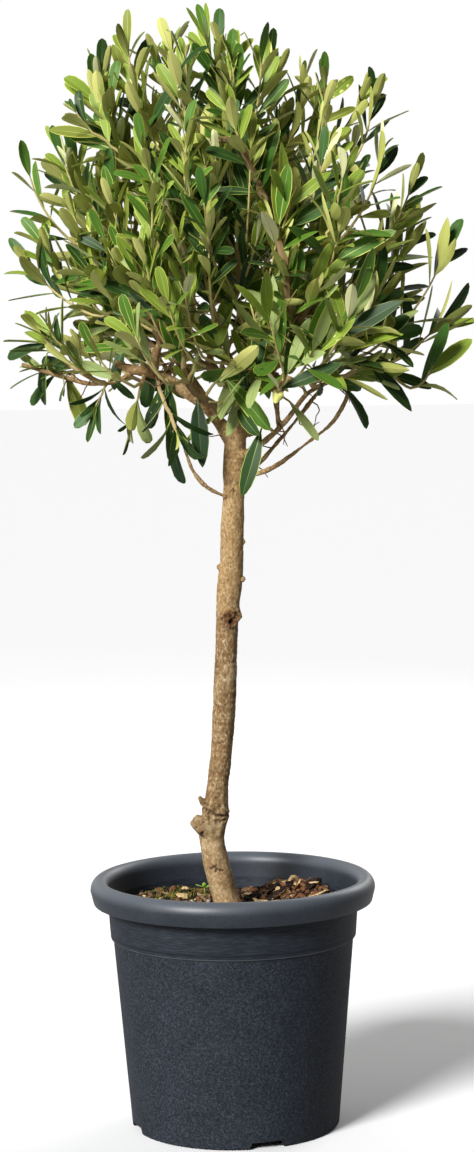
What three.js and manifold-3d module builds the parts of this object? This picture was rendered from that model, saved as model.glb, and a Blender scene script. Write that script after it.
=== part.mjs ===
// A young olive tree in a round nursery pot, in millimetres with +Z up.
// The origin is the centre of the pot's underside, and -Y is the front.
//
// The pot is one moulded shell with a rolled rim, a ledge under it and drain channels in its foot.
// The root ball fills the pot to a little under the rim, and the trunk stands on it with a flat cut.
// Each bough is one tapering limb that ends where it enters a mass of leaves. Each mass is a closed,
// uneven solid, cut back from the masses made before it, so that touching pieces keep a gap.

import * as THREE from 'three';
import { mergeVertices } from 'three/addons/utils/BufferGeometryUtils.js';
import loadManifold from 'manifold-3d';

// ---------------------------------------------------------------- driving dimensions

const GAP = 0.3; // clearance between pieces that touch
const REACH = 400; // longer than anything that a cutting tool has to pass through

const POT_HEIGHT = 250;
const FOOT_RADIUS = 103.8;
const FOOT_BEVEL = 1.5;
const WALL = 2.4;
const LEDGE_HEIGHT = 190; // the step that stops stacked pots from jamming
const LEDGE_RADIUS = 119.9; // outside of the wall just under the ledge
const LEDGE_STEP = 2.5;
const RIM_RADIUS = 142; // outside of the rolled rim
const ROLL_WIDTH = 18; // the roll, measured from the opening to its outside
const ROLL_HEIGHT = 11.5; // crest of the roll above its widest ring
const SKIRT_DROP = 12.5; // lower edge of the roll under its widest ring
const SKIRT_DRAFT = 3; // how far that lower edge lies in from the widest ring
const POT_SIDES = 32;

const CHANNEL_HEIGHT = 7; // drain channel moulded into the foot
const CHANNEL_INNER = 34;
const CHANNEL_OUTER = 76;
const CHANNEL_SLOPE = 2.5;
const NOTCH_COUNT = 4; // where the channel runs out through the foot
const NOTCH_TURN = 17; // degrees from the front to the first notch
const NOTCH_WIDTH = 38;
const NOTCH_SLOPE = 4; // how far each flank of a notch leans in
const DRAIN_COUNT = 6;
const DRAIN_DIAMETER = 9;
const DRAIN_SIDES = 8;

const SOIL_TOP = 216; // ground level at the trunk
const SOIL_FALL = 4; // how much lower the soil lies at the wall
const SOIL_LEVEL_RADIUS = 30; // the soil is level this far out from the trunk

const TREE_TOP = 1113; // tip of the highest leaf

// ---------------------------------------------------------------- solids and cuts

const manifold = await loadManifold();
manifold.setup();

function toSolid(geometry) {
  const plain = new THREE.BufferGeometry();
  plain.setAttribute('position', geometry.getAttribute('position').clone());
  plain.setIndex(geometry.getIndex());
  const merged = mergeVertices(plain, 1e-4);
  const whole = [];
  const corners = merged.getIndex().array;
  for (let i = 0; i < corners.length; i += 3) {
    const [a, b, c] = [corners[i], corners[i + 1], corners[i + 2]];
    if (a !== b && b !== c && c !== a) whole.push(a, b, c);
  }
  const mesh = new manifold.Mesh({
    numProp: 3,
    vertProperties: new Float32Array(merged.getAttribute('position').array),
    triVerts: new Uint32Array(whole),
  });
  return new manifold.Manifold(mesh);
}

function toGeometry(solid) {
  const mesh = solid.getMesh();
  const geometry = new THREE.BufferGeometry();
  geometry.setAttribute('position', new THREE.BufferAttribute(mesh.vertProperties, 3));
  geometry.setIndex(new THREE.BufferAttribute(mesh.triVerts, 1));
  geometry.computeVertexNormals();
  return geometry;
}

function cutBy(solid, tools) {
  return tools.reduce((rest, tool) => rest.subtract(tool), solid);
}

// A small repeatable random source, so that every build gives the same solids.
function randomFrom(seed) {
  let state = seed * 7919 + 17;
  return () => {
    state = (state * 1103515245 + 12345) % 2147483648;
    return state / 2147483648;
  };
}

// ---------------------------------------------------------------- pot and root ball

function lathe(profile) {
  const points = profile.map(([radius, height]) => new THREE.Vector2(radius, height));
  return new THREE.LatheGeometry(points, POT_SIDES).rotateX(Math.PI / 2);
}

// Points on an ellipse, from the angle `from` to the angle `to`, in degrees.
function arc(centre, halfWidth, height, from, to, steps) {
  const points = [];
  for (let i = 0; i <= steps; i += 1) {
    const angle = THREE.MathUtils.degToRad(from + ((to - from) * i) / steps);
    points.push([centre[0] + halfWidth * Math.cos(angle), centre[1] + height * Math.sin(angle)]);
  }
  return points;
}

const rollCentre = [RIM_RADIUS - ROLL_WIDTH / 2, POT_HEIGHT - ROLL_HEIGHT];
const skirtEdge = rollCentre[1] - SKIRT_DROP;
const underRim = LEDGE_RADIUS + 2 * LEDGE_STEP; // outside of the wall where the roll hides it
const floorTop = CHANNEL_HEIGHT + WALL;

function innerWall(clearance) {
  const inset = WALL + clearance;
  return [
    [LEDGE_RADIUS + LEDGE_STEP - inset, LEDGE_HEIGHT],
    [LEDGE_RADIUS - inset, LEDGE_HEIGHT - WALL],
    [FOOT_RADIUS - inset, floorTop + clearance],
    [0, floorTop + clearance],
  ];
}

function potSolid() {
  const underside = [
    [0, 0],
    [CHANNEL_INNER, 0],
    [CHANNEL_INNER + CHANNEL_SLOPE, CHANNEL_HEIGHT],
    [CHANNEL_OUTER - CHANNEL_SLOPE, CHANNEL_HEIGHT],
    [CHANNEL_OUTER, 0],
    [FOOT_RADIUS - FOOT_BEVEL, 0],
    [FOOT_RADIUS, FOOT_BEVEL],
  ];
  const outside = [
    [LEDGE_RADIUS, LEDGE_HEIGHT],
    [LEDGE_RADIUS + LEDGE_STEP, LEDGE_HEIGHT + 1],
    [underRim, skirtEdge],
  ];
  const hollow = arc(rollCentre, ROLL_WIDTH / 2 - WALL, ROLL_HEIGHT - WALL, 180, 0, 3);
  const skirt = [
    [RIM_RADIUS - SKIRT_DRAFT - WALL, skirtEdge],
    [RIM_RADIUS - SKIRT_DRAFT, skirtEdge],
  ];
  const roll = arc(rollCentre, ROLL_WIDTH / 2, ROLL_HEIGHT, 0, 180, 4);
  const inside = [[underRim - WALL, skirtEdge], ...innerWall(0)];
  let solid = toSolid(lathe([...underside, ...outside, ...hollow, ...skirt, ...roll, ...inside]));

  const notch = new THREE.Shape([
    new THREE.Vector2(-NOTCH_WIDTH / 2, -1),
    new THREE.Vector2(NOTCH_WIDTH / 2, -1),
    new THREE.Vector2(NOTCH_WIDTH / 2 - NOTCH_SLOPE, CHANNEL_HEIGHT),
    new THREE.Vector2(NOTCH_SLOPE - NOTCH_WIDTH / 2, CHANNEL_HEIGHT),
  ]);
  const notchStart = CHANNEL_OUTER - 2 * CHANNEL_SLOPE;
  const notchLength = 1.2 * (FOOT_RADIUS - notchStart);
  for (let i = 0; i < NOTCH_COUNT; i += 1) {
    const tool = new THREE.ExtrudeGeometry(notch, { depth: notchLength, bevelEnabled: false });
    tool.rotateX(Math.PI / 2);
    tool.translate(0, -notchStart, 0);
    tool.rotateZ(THREE.MathUtils.degToRad(NOTCH_TURN + (360 / NOTCH_COUNT) * i));
    solid = solid.subtract(toSolid(tool));
  }
  for (let i = 0; i < DRAIN_COUNT; i += 1) {
    const radius = DRAIN_DIAMETER / 2;
    const tool = new THREE.CylinderGeometry(radius, radius, 4 * WALL, DRAIN_SIDES);
    tool.rotateX(Math.PI / 2);
    tool.translate((CHANNEL_INNER + CHANNEL_OUTER) / 2, 0, CHANNEL_HEIGHT + WALL / 2);
    tool.rotateZ((2 * Math.PI * (i + 0.5)) / DRAIN_COUNT);
    solid = solid.subtract(toSolid(tool));
  }
  return solid;
}

function rootBallSolid() {
  const brim = LEDGE_RADIUS + LEDGE_STEP - WALL - GAP;
  const top = [
    [0, SOIL_TOP],
    [SOIL_LEVEL_RADIUS, SOIL_TOP],
    [brim, SOIL_TOP - SOIL_FALL],
  ];
  return toSolid(lathe([...top, ...innerWall(GAP)].reverse()));
}

// ---------------------------------------------------------------- limbs

// A limb is a tapering tube through its stations, each [x, y, z, diameter].
function limbSolid(stations, sides, steps, swell = 0) {
  const path = new THREE.CatmullRomCurve3(
    stations.map(([x, y, z]) => new THREE.Vector3(x, y, z)),
    false,
    'centripetal',
  );
  const tube = new THREE.CylinderGeometry(1, 1, 1, sides, steps);
  const place = tube.getAttribute('position');
  const aside = new THREE.Vector3();
  const across = new THREE.Vector3();
  for (let i = 0; i < place.count; i += 1) {
    const along = THREE.MathUtils.clamp(place.getY(i) + 0.5, 0, 1);
    const centre = path.getPoint(along);
    const tangent = path.getTangent(along);
    aside.set(0, 1, 0).cross(tangent).normalize();
    across.crossVectors(aside, tangent);
    const last = stations.length - 1;
    const first = Math.min(Math.floor(along * last), last - 1);
    const [from, to] = [stations[first][3], stations[first + 1][3]];
    const radius = THREE.MathUtils.lerp(from, to, along * last - first) / 2 + swell;
    if (along === 0 || along === 1) centre.addScaledVector(tangent, (2 * along - 1) * swell);
    centre.addScaledVector(aside, place.getX(i) * radius);
    centre.addScaledVector(across, place.getZ(i) * radius);
    place.setXYZ(i, centre.x, centre.y, centre.z);
  }
  return toSolid(tube);
}

// The trunk leans out to the left over its first bend, then comes back and runs up to the fork.
const TRUNK = [
  [-3, 0, SOIL_TOP - 12, 36],
  [-7, 0, SOIL_TOP + 12, 25],
  [-15.5, 2, 260, 26],
  [-20.5, 3, 288, 25],
  [-16.5, 3, 312, 26],
  [-13, 2, 345, 20.5],
  [-8, 1, 385, 21],
  [-4, 0, 450, 22],
  [-1.5, 0, 508, 22.4],
  [3, 0, 565, 20.8],
  [6, 0, 625, 21],
  [8.5, 1, 675, 19.5],
  [11, 2, 704, 19],
];
// What is left of a branch pruned off at the swollen joint.
const STUB = [
  [-17, 1, 292, 20],
  [-29, -4, 301, 20],
  [-38, -7, 309, 12.5],
];

// Each bough: the limbs that it grows out of, which cut its foot to shape, and its stations. The
// first station lies inside a parent.
const BOUGHS = {
  leader: {
    parents: ['trunk'],
    stations: [
      [11, 2, 692, 16], [22, 6, 728, 14], [31, 10, 770, 11.5], [33, 10, 812, 9.5],
      [28, 6, 846, 8.5], [26, 4, 888, 7],
    ],
  },
  leader_side: {
    parents: ['leader'],
    stations: [
      [33, 10, 800, 7], [16, 2, 808, 7], [8, -2, 824, 6.5], [6, -2, 850, 6], [0, -6, 884, 5],
    ],
  },
  bough_left: {
    parents: ['trunk', 'leader'],
    stations: [
      [9, 0, 684, 15], [-11, -4, 708, 15.5], [-27, -8, 724, 15], [-49, -10, 740, 13.5],
      [-72, -12, 752, 12], [-100, -8, 757, 10.5], [-122, -4, 775, 8],
    ],
  },
  bough_left_upright: {
    parents: ['bough_left'],
    stations: [
      [-74, -12, 752, 9.5], [-66, -28, 774, 9], [-58, -36, 790, 8.5], [-50, -42, 808, 7],
      [-49, -46, 838, 5.5],
    ],
  },
  branch_left_long: {
    parents: ['bough_left'],
    stations: [
      [-94, -8, 753, 7], [-106, -16, 743, 6], [-130, -22, 741, 5.2], [-163, -26, 751, 4.6],
      [-201, -28, 763, 4.2],
    ],
  },
  bough_right: {
    parents: ['trunk'],
    stations: [
      [10, -4, 668, 8], [36, -18, 682, 7.5], [52, -26, 697, 7], [64, -34, 710, 6.4],
      [78, -40, 731, 6], [112, -46, 746, 5.4], [134, -48, 760, 5],
    ],
  },
  bough_right_upright: {
    parents: ['bough_right'],
    stations: [
      [52, -26, 697, 4.8], [49, -39, 735, 6], [60, -56, 755, 6], [76, -70, 784, 5.6],
      [90, -78, 818, 5], [96, -84, 846, 4.5],
    ],
  },
  bough_right_low: {
    parents: ['trunk'],
    stations: [
      [10, 2, 648, 6], [37, 2, 652, 5.4], [64, 0, 669, 5], [84, -6, 685, 4.8],
      [104, -16, 700, 4.4], [118, -24, 724, 4], [124, -28, 742, 3.6],
    ],
  },
  bough_right_inner: {
    parents: ['trunk', 'bough_right_low', 'bough_right'],
    stations: [
      [8, 10, 646, 5], [30, 16, 658, 5], [46, 22, 676, 4.6], [64, 28, 696, 4.4],
      [84, 34, 720, 4], [112, 34, 756, 3.6],
    ],
  },
  bough_back_left: {
    parents: ['trunk', 'leader', 'bough_left'],
    stations: [
      [8, 6, 676, 11], [-12, 26, 708, 10.5], [-34, 52, 744, 9.5], [-56, 76, 776, 8.5],
      [-74, 96, 812, 7],
    ],
  },
  bough_back_right: {
    parents: ['leader'],
    stations: [
      [26, 10, 742, 10], [42, 34, 764, 9.5], [60, 62, 788, 8.5], [78, 88, 818, 7],
    ],
  },
  bough_front: {
    parents: ['trunk', 'leader'],
    stations: [
      [12, 0, 692, 6], [12, -22, 702, 5.6], [14, -40, 722, 5], [12, -50, 748, 4.4],
    ],
  },
  twig_low_left: {
    parents: ['trunk'],
    stations: [
      [4, -4, 628, 5], [-12, -14, 634, 4.2], [-24, -18, 642, 3.8], [-34, -20, 656, 3.6],
      [-39, -22, 670, 3.4], [-44, -22, 694, 3],
    ],
  },
};
const TRUNK_SIDES = 10;
const BOUGH_SIDES = 7;
const STEPS_PER_STATION = 2;

// ---------------------------------------------------------------- masses of leaves

// Each mass: its centre, its half sizes, and the furthest tips that its outline runs out to. Limbs
// listed under `round` run on through the mass, so it is cut round them and not they by it.
const MASSES = {
  mass_top: {
    at: [-22, 8, 1026], half: [60, 70, 70],
    tips: [
      [-20, 0, TREE_TOP], [-1, 20, 1103], [46, 12, 1086], [-56, -6, 1094], [10, -50, 1080],
    ],
  },
  mass_top_left: {
    at: [-94, -16, 1000], half: [44, 62, 66],
    tips: [
      [-92, -14, 1104], [-118, -20, 1080], [-139, -10, 1052], [-132, -40, 990],
    ],
  },
  mass_top_right: {
    at: [100, 6, 974], half: [60, 76, 56],
    tips: [
      [100, 0, 1062], [150, 8, 1049], [162, -10, 1020], [196, 0, 962], [60, 30, 1046],
    ],
  },
  mass_high_left: {
    at: [-124, 0, 920], half: [50, 80, 52],
    tips: [
      [-199, -4, 981], [-168, 8, 992], [-150, 30, 985], [-194, -10, 908], [-112, -80, 950],
    ],
  },
  mass_high_front: {
    at: [-32, -92, 930], half: [76, 62, 66],
    tips: [
      [-80, -120, 995], [-30, -110, 1010], [28, -116, 996], [-20, -168, 940],
    ],
  },
  mass_heart: {
    at: [14, 14, 934], half: [70, 58, 48],
    tips: [
      [70, -30, 985], [20, -20, 1000],
    ],
  },
  mass_right: {
    at: [158, -4, 860], half: [54, 80, 56],
    tips: [
      [218, 6, 914], [231, -6, 899], [244, -14, 831], [216, -30, 798], [196, 40, 920],
    ],
  },
  mass_right_front: {
    at: [80, -104, 866], half: [58, 54, 60],
    tips: [
      [62, -120, 946], [118, -124, 936], [140, -140, 866], [30, -140, 850],
    ],
  },
  mass_right_low: {
    at: [146, -44, 768], half: [54, 58, 30],
    tips: [
      [200, -40, 742], [214, -30, 798], [184, -56, 714], [82, -60, 762], [140, -50, 712],
    ],
  },
  mass_left_low: {
    at: [-140, -14, 810], half: [56, 74, 52],
    tips: [
      [-217, -8, 869], [-217, -10, 772], [-200, 10, 880], [-150, -60, 880], [-170, -80, 800],
    ],
  },
  mass_left_front: {
    at: [-66, -84, 836], half: [52, 50, 46],
    tips: [
      [-40, -100, 892], [-96, -110, 884], [-60, -140, 850],
    ],
  },
  mass_back: {
    at: [-2, 108, 944], half: [84, 60, 80],
    tips: [
      [60, 150, 1010], [-66, 150, 1000], [0, 178, 960], [-10, 120, 1044],
    ],
  },
  mass_back_left: {
    at: [-94, 108, 852], half: [62, 56, 52],
    tips: [
      [-160, 120, 900], [-150, 160, 850], [-60, 172, 830],
    ],
  },
  mass_back_right: {
    at: [92, 108, 856], half: [62, 58, 54],
    tips: [
      [168, 120, 890], [140, 164, 850], [50, 172, 836], [150, 110, 800],
    ],
  },
  mass_left_under: {
    at: [-134, -20, 726], half: [46, 24, 20], round: ['branch_left_long', 'bough_left'],
    tips: [
      [-191, -24, 722], [-139, -26, 698], [-82, -34, 706], [-100, -40, 700],
    ],
  },
  mass_low_left: {
    at: [-84, -26, 694], half: [38, 32, 20],
    tips: [
      [-139, -30, 702], [-111, -44, 682], [-89, -34, 645], [-54, -20, 640], [-50, -24, 712],
    ],
  },
  mass_low_front: {
    at: [6, -52, 736], half: [46, 30, 34],
    tips: [
      [-24, -62, 660], [16, -58, 634], [-44, -60, 760], [40, -76, 762], [-10, -70, 788],
    ],
  },
};
const MASS_ROUND = 12;
const MASS_RINGS = 9;
const LUMPS = 14;
const LUMP_HEIGHT = 0.15; // share of the radius that a random lump stands out or sinks in
const LUMP_WIDTH = 0.06;
const TIP_WIDTH = 0.035;

function massSolid({ at, half, tips }, seed, swell = 0) {
  const random = randomFrom(seed);
  const middle = new THREE.Vector3(...at);
  const size = new THREE.Vector3(...half);
  // In the space where the body is a unit ball, a tip is a direction and a distance.
  const peaks = tips.map((tip) => new THREE.Vector3(...tip).sub(middle).divide(size));
  const bumps = peaks.map((peak) => ({
    aim: peak.clone().normalize(), reach: peak.length() - 1, width: TIP_WIDTH,
  }));
  for (let i = 0; i < LUMPS; i += 1) {
    const turn = random() * 2 * Math.PI;
    const rise = random() * 2 - 1;
    const level = Math.sqrt(1 - rise * rise);
    bumps.push({
      aim: new THREE.Vector3(level * Math.cos(turn), level * Math.sin(turn), rise),
      reach: (random() * 2 - 1) * LUMP_HEIGHT,
      width: LUMP_WIDTH,
    });
  }

  const ball = new THREE.SphereGeometry(1, MASS_ROUND, MASS_RINGS).rotateX(Math.PI / 2);
  ball.deleteAttribute('normal');
  ball.deleteAttribute('uv');
  const body = mergeVertices(ball);
  const place = body.getAttribute('position');
  const rays = [];
  for (let i = 0; i < place.count; i += 1) {
    rays.push(new THREE.Vector3().fromBufferAttribute(place, i).normalize());
  }
  const radii = rays.map((ray) => bumps.reduce(
    (radius, { aim, reach, width }) => radius + reach * Math.exp((ray.dot(aim) - 1) / width), 1,
  ));
  for (const peak of peaks) {
    const aim = peak.clone().normalize();
    const fits = rays.map((ray) => ray.dot(aim));
    const nearest = fits.indexOf(Math.max(...fits));
    rays[nearest] = aim;
    radii[nearest] = peak.length();
  }
  rays.forEach((ray, i) => place.setXYZ(
    i,
    at[0] + ray.x * (half[0] * radii[i] + swell),
    at[1] + ray.y * (half[1] * radii[i] + swell),
    at[2] + ray.z * (half[2] * radii[i] + swell),
  ));
  return toSolid(body);
}

// ---------------------------------------------------------------- the assembly

const plant = new THREE.Group();
plant.name = 'potted_olive_tree';

const PLASTIC = { color: 0x3a3e44, roughness: 0.55, metalness: 0 };
const EARTH = { color: 0x3b2a1c, roughness: 1, metalness: 0 };
const BARK = { color: 0xa88f6a, roughness: 0.85, metalness: 0 };
const LEAVES = { color: 0x4f6a2c, roughness: 0.6, metalness: 0 };

function addPiece(name, solid, look) {
  const piece = new THREE.Mesh(toGeometry(solid), new THREE.MeshStandardMaterial(look));
  piece.name = name;
  plant.add(piece);
}

function limbOf(stations, sides, swell) {
  return limbSolid(stations, sides, (stations.length - 1) * STEPS_PER_STATION, swell);
}

function trunkSolid(swell) {
  const below = new THREE.BoxGeometry(REACH, REACH, REACH);
  below.translate(0, 0, SOIL_TOP + GAP - swell - REACH / 2);
  return limbOf(TRUNK, TRUNK_SIDES, swell).add(limbOf(STUB, BOUGH_SIDES, swell)).subtract(toSolid(below));
}

const grownLimbs = { trunk: trunkSolid(GAP) };
for (const [name, { stations }] of Object.entries(BOUGHS)) {
  grownLimbs[name] = limbOf(stations, BOUGH_SIDES, GAP);
}

const grownMasses = [];
const limbEnders = [];
const masses = Object.entries(MASSES).map(([name, mass], index) => {
  const round = (mass.round ?? []).map((limb) => grownLimbs[limb]);
  const solid = cutBy(massSolid(mass, index + 1), [...grownMasses, ...round]);
  const grown = massSolid(mass, index + 1, 2 * GAP);
  grownMasses.push(grown);
  if (!mass.round) limbEnders.push(grown);
  return [name, solid];
});

const limbs = Object.entries(BOUGHS).map(([name, { parents, stations }]) => {
  const tools = [...parents.map((parent) => grownLimbs[parent]), ...limbEnders];
  return [name, cutBy(limbOf(stations, BOUGH_SIDES, 0), tools)];
});

addPiece('pot', potSolid(), PLASTIC);
addPiece('root_ball', rootBallSolid(), EARTH);
addPiece('trunk', trunkSolid(0), BARK);
for (const [name, solid] of limbs) addPiece(name, solid, BARK);
for (const [name, solid] of masses) addPiece(name, solid, LEAVES);

export default plant;
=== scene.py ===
import math
from collections import namedtuple

import bpy
import numpy as np
from mathutils import Matrix, Vector, noise
from mathutils.bvhtree import BVHTree


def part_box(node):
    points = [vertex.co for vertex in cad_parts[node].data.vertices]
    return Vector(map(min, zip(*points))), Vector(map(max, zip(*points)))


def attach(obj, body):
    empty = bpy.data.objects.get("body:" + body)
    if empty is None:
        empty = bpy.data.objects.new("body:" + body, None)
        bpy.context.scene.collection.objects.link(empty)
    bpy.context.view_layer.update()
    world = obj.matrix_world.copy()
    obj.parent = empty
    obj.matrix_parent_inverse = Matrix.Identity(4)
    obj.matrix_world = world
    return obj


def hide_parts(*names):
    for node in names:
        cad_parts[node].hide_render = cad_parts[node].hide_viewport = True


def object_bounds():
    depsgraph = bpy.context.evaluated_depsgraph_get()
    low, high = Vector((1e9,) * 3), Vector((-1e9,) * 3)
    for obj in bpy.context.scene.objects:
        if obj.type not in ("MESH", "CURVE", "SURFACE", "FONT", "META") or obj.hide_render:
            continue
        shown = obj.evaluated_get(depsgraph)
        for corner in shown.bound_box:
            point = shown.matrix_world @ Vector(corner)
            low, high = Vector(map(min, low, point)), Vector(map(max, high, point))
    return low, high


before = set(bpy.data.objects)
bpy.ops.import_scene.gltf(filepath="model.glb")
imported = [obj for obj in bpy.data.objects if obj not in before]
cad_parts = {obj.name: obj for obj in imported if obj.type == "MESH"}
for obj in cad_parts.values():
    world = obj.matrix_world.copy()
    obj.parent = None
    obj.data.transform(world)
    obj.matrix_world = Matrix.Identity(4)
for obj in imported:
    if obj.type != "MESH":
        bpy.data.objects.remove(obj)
cad_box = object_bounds()
mm = 0.001

# ---------------------------------------------------------------- camera
# A tall picture from almost 3 m away with a long lens, a little above the pot's rim and looking
# slightly down, so that the pot's opening shows as a flat oval.

CAMERA_AT = (8.5 * mm, -2750 * mm, 782.6 * mm)
CAMERA_DOWN = math.radians(4.83)
CAMERA_ROLL = math.radians(-0.8)
CAMERA_LENS = 87.17

bpy.ops.object.camera_add()
camera = bpy.context.object
camera.data.lens = CAMERA_LENS
camera.matrix_world = (
    Matrix.Translation(CAMERA_AT)
    @ Matrix.Rotation(math.pi / 2 - CAMERA_DOWN, 4, "X")
    @ Matrix.Rotation(CAMERA_ROLL, 4, "Z")
)
bpy.context.scene.camera = camera


# ---------------------------------------------------------------- floor and studio light
# A wide pale floor under a white sky, a broad soft key light from the left in front, and a weaker
# one behind on the right. The right of the studio is darker, which gives round things a shade side.

class Wire:
    """A value on its way through a node tree, so that sums on it are written as plain Python."""

    def __init__(self, finish, socket):
        self.finish = finish
        self.socket = socket

    def _sum(self, operation, first, second):
        return self.finish.node("ShaderNodeMath", {"operation": operation}, {0: first, 1: second})

    def __add__(self, other):
        return self._sum("ADD", self, other)

    def __radd__(self, other):
        return self._sum("ADD", other, self)

    def __sub__(self, other):
        return self._sum("SUBTRACT", self, other)

    def __rsub__(self, other):
        return self._sum("SUBTRACT", other, self)

    def __mul__(self, other):
        return self._sum("MULTIPLY", self, other)

    def __rmul__(self, other):
        return self._sum("MULTIPLY", other, self)

    def __pow__(self, other):
        return self._sum("POWER", self, other)

    def step(self, low, high):
        """0 below low, 1 above high, and smooth between them."""
        return self.finish.node(
            "ShaderNodeMapRange", {"interpolation_type": "SMOOTHSTEP"},
            {"Value": self, "From Min": low, "From Max": high},
        )


def linear(red, green, blue):
    """A colour given as it looks on a screen, from 0 to 255, in the shader's own linear values."""
    parts = [part / 255 for part in (red, green, blue)]
    return tuple(p / 12.92 if p <= 0.04045 else ((p + 0.055) / 1.055) ** 2.4 for p in parts) + (1,)


class Finish:
    """A material, with its main shader's constants and the nodes that feed it."""

    def __init__(self, name, constants={}, owner=None):
        self.material = owner or bpy.data.materials.new(name)
        self.material.use_nodes = True
        self.tree = self.material.node_tree
        self.shader = self.tree.nodes.get("Principled BSDF")
        for socket, value in constants.items():
            self.shader.inputs[socket].default_value = value

    def node(self, kind, settings, sockets, output=0):
        made = self.tree.nodes.new(kind)
        for name, value in settings.items():
            if name == "stops":
                ramp = made.color_ramp.elements
                while len(ramp) < len(value):
                    ramp.new(1)
                for stop, (position, colour) in zip(ramp, value):
                    stop.position = position
                    stop.color = linear(*colour)
            else:
                setattr(made, name, value)
        for name, value in sockets.items():
            if isinstance(value, Wire):
                self.tree.links.new(value.socket, made.inputs[name])
            else:
                made.inputs[name].default_value = value
        return Wire(self, made.outputs[output])

    def axis(self, name, space="Object"):
        """How far along X, Y or Z a point lies, in metres on a piece."""
        here = self.node("ShaderNodeTexCoord", {}, {}, space)
        return self.node("ShaderNodeSeparateXYZ", {}, {"Vector": here}, name)

    def noise(self, size, detail, rough, stretch=(1, 1, 1)):
        """Cloudy noise from 0 to 1 whose blotches are about size metres wide, squeezed by stretch."""
        here = self.node("ShaderNodeTexCoord", {}, {}, "Object")
        place = self.node("ShaderNodeMapping", {}, {"Vector": here, "Scale": stretch})
        return self.node("ShaderNodeTexNoise", {}, {
            "Vector": place, "Scale": 1 / size, "Detail": detail, "Roughness": rough,
        })

    def ramp(self, value, stops):
        return self.node("ShaderNodeValToRGB", {"stops": stops}, {"Fac": value})

    def mix(self, amount, first, second):
        return self.node("ShaderNodeMix", {"data_type": "RGBA"}, {0: amount, 6: first, 7: second}, 2)

    def bump(self, height, depth):
        """Makes the surface look raised by depth metres where height is 1."""
        self.feed("Normal", self.node("ShaderNodeBump", {}, {"Height": height, "Distance": depth}))

    def feed(self, socket, wire):
        self.tree.links.new(wire.socket, self.shader.inputs[socket])


FLOOR_SIDE = 60
FLOOR_DROP = 0.1 * mm
FLOOR_SEEN = (0.95, 0.95, 0.95, 1)
FLOOR_BOUNCE = (0.3, 0.3, 0.3, 1)  # as the light on the underside of things sees it
KEY_FROM = (-1.0, -1.45, 1.0)
KEY_STRENGTH = 4.9
KEY_SPREAD = math.radians(18)
BACK_AT = (1.5, 2.3, 1.9)
BACK_SIZE = 1.6
BACK_POWER = 26
AIM = Vector((0, 0, 700 * mm))
STUDIO_DARK = 0.06
STUDIO_BACK = 0.5
STUDIO_LEFT = 0.35

floor_finish = Finish("studio_floor", {"Roughness": 0.9})
seen = floor_finish.node("ShaderNodeLightPath", {}, {}, "Is Camera Ray")
floor_finish.feed("Base Color", floor_finish.mix(seen, FLOOR_BOUNCE, FLOOR_SEEN))
bpy.ops.object.select_all(action="DESELECT")
bpy.ops.mesh.primitive_plane_add(size=FLOOR_SIDE, location=(0, 0, cad_box[0].z - FLOOR_DROP))
floor = bpy.context.object
floor.name = "studio_floor"
floor.data.materials.append(floor_finish.material)


def light(kind, name, place, toward, power):
    """A light at a place, whose beam runs along the direction from it to another place."""
    bpy.ops.object.light_add(type=kind, location=place)
    lamp = bpy.context.object
    lamp.name = name
    lamp.data.energy = power
    lamp.rotation_euler = (Vector(place) - toward).to_track_quat("Z", "Y").to_euler()
    return lamp


light("SUN", "key_light", KEY_FROM, Vector(), KEY_STRENGTH).data.angle = KEY_SPREAD
light("AREA", "back_light", BACK_AT, AIM, BACK_POWER).data.size = BACK_SIZE

sky = Finish("studio", owner=bpy.data.worlds.new("studio"))
bpy.context.scene.world = sky.material
glow = (
    STUDIO_DARK
    + STUDIO_BACK * sky.axis("Y", "Generated").step(0.1, 0.9)
    + STUDIO_LEFT * (0 - sky.axis("X", "Generated")).step(0.0, 0.9)
)
seen = sky.node("ShaderNodeLightPath", {}, {}, "Is Camera Ray")
backdrop = sky.tree.nodes["Background"]
backdrop.inputs["Color"].default_value = (1, 1, 1, 1)
sky.tree.links.new((seen + (1 - seen) * glow).socket, backdrop.inputs["Strength"])
bpy.context.scene.view_settings.view_transform = "Standard"


# ---------------------------------------------------------------- pot
# A thermoformed nursery pot of recycled black plastic: a grained cone, a smooth band over a stacking
# ledge, and a fat rolled rim with an open skirt. Drain channels are pressed into the foot.

pot_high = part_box("pot")[1]
POT_HEIGHT = pot_high.z
RIM_RADIUS = pot_high.x
FOOT_RADIUS = 103.8 * mm
FOOT_EASE = 1.5 * mm
WALL = 2.4 * mm
LEDGE_HEIGHT = 190 * mm
LEDGE_RADIUS = 119.9 * mm
LEDGE_STEP = 2.5 * mm
ROLL_WIDTH = 18 * mm
ROLL_HEIGHT = 11.5 * mm
SKIRT_DROP = 12.5 * mm
SKIRT_DRAFT = 3 * mm
CHANNEL_HEIGHT = 7 * mm
CHANNEL_INNER = 34 * mm
CHANNEL_OUTER = 76 * mm
CHANNEL_SLOPE = 2.5 * mm
NOTCH_COUNT = 4
NOTCH_TURN = math.radians(17)
NOTCH_WIDTH = 38 * mm
NOTCH_SLOPE = 4 * mm
DRAIN_COUNT = 6
DRAIN_DIAMETER = 9 * mm
POT_SIDES = 160
CORNER_EASE = 0.7 * mm
BLUNT_CORNER = math.radians(155)
WELD = 0.02 * mm

roll_radius = RIM_RADIUS - ROLL_WIDTH / 2
roll_level = POT_HEIGHT - ROLL_HEIGHT
skirt_edge = roll_level - SKIRT_DROP
under_rim = LEDGE_RADIUS + 2 * LEDGE_STEP


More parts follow.
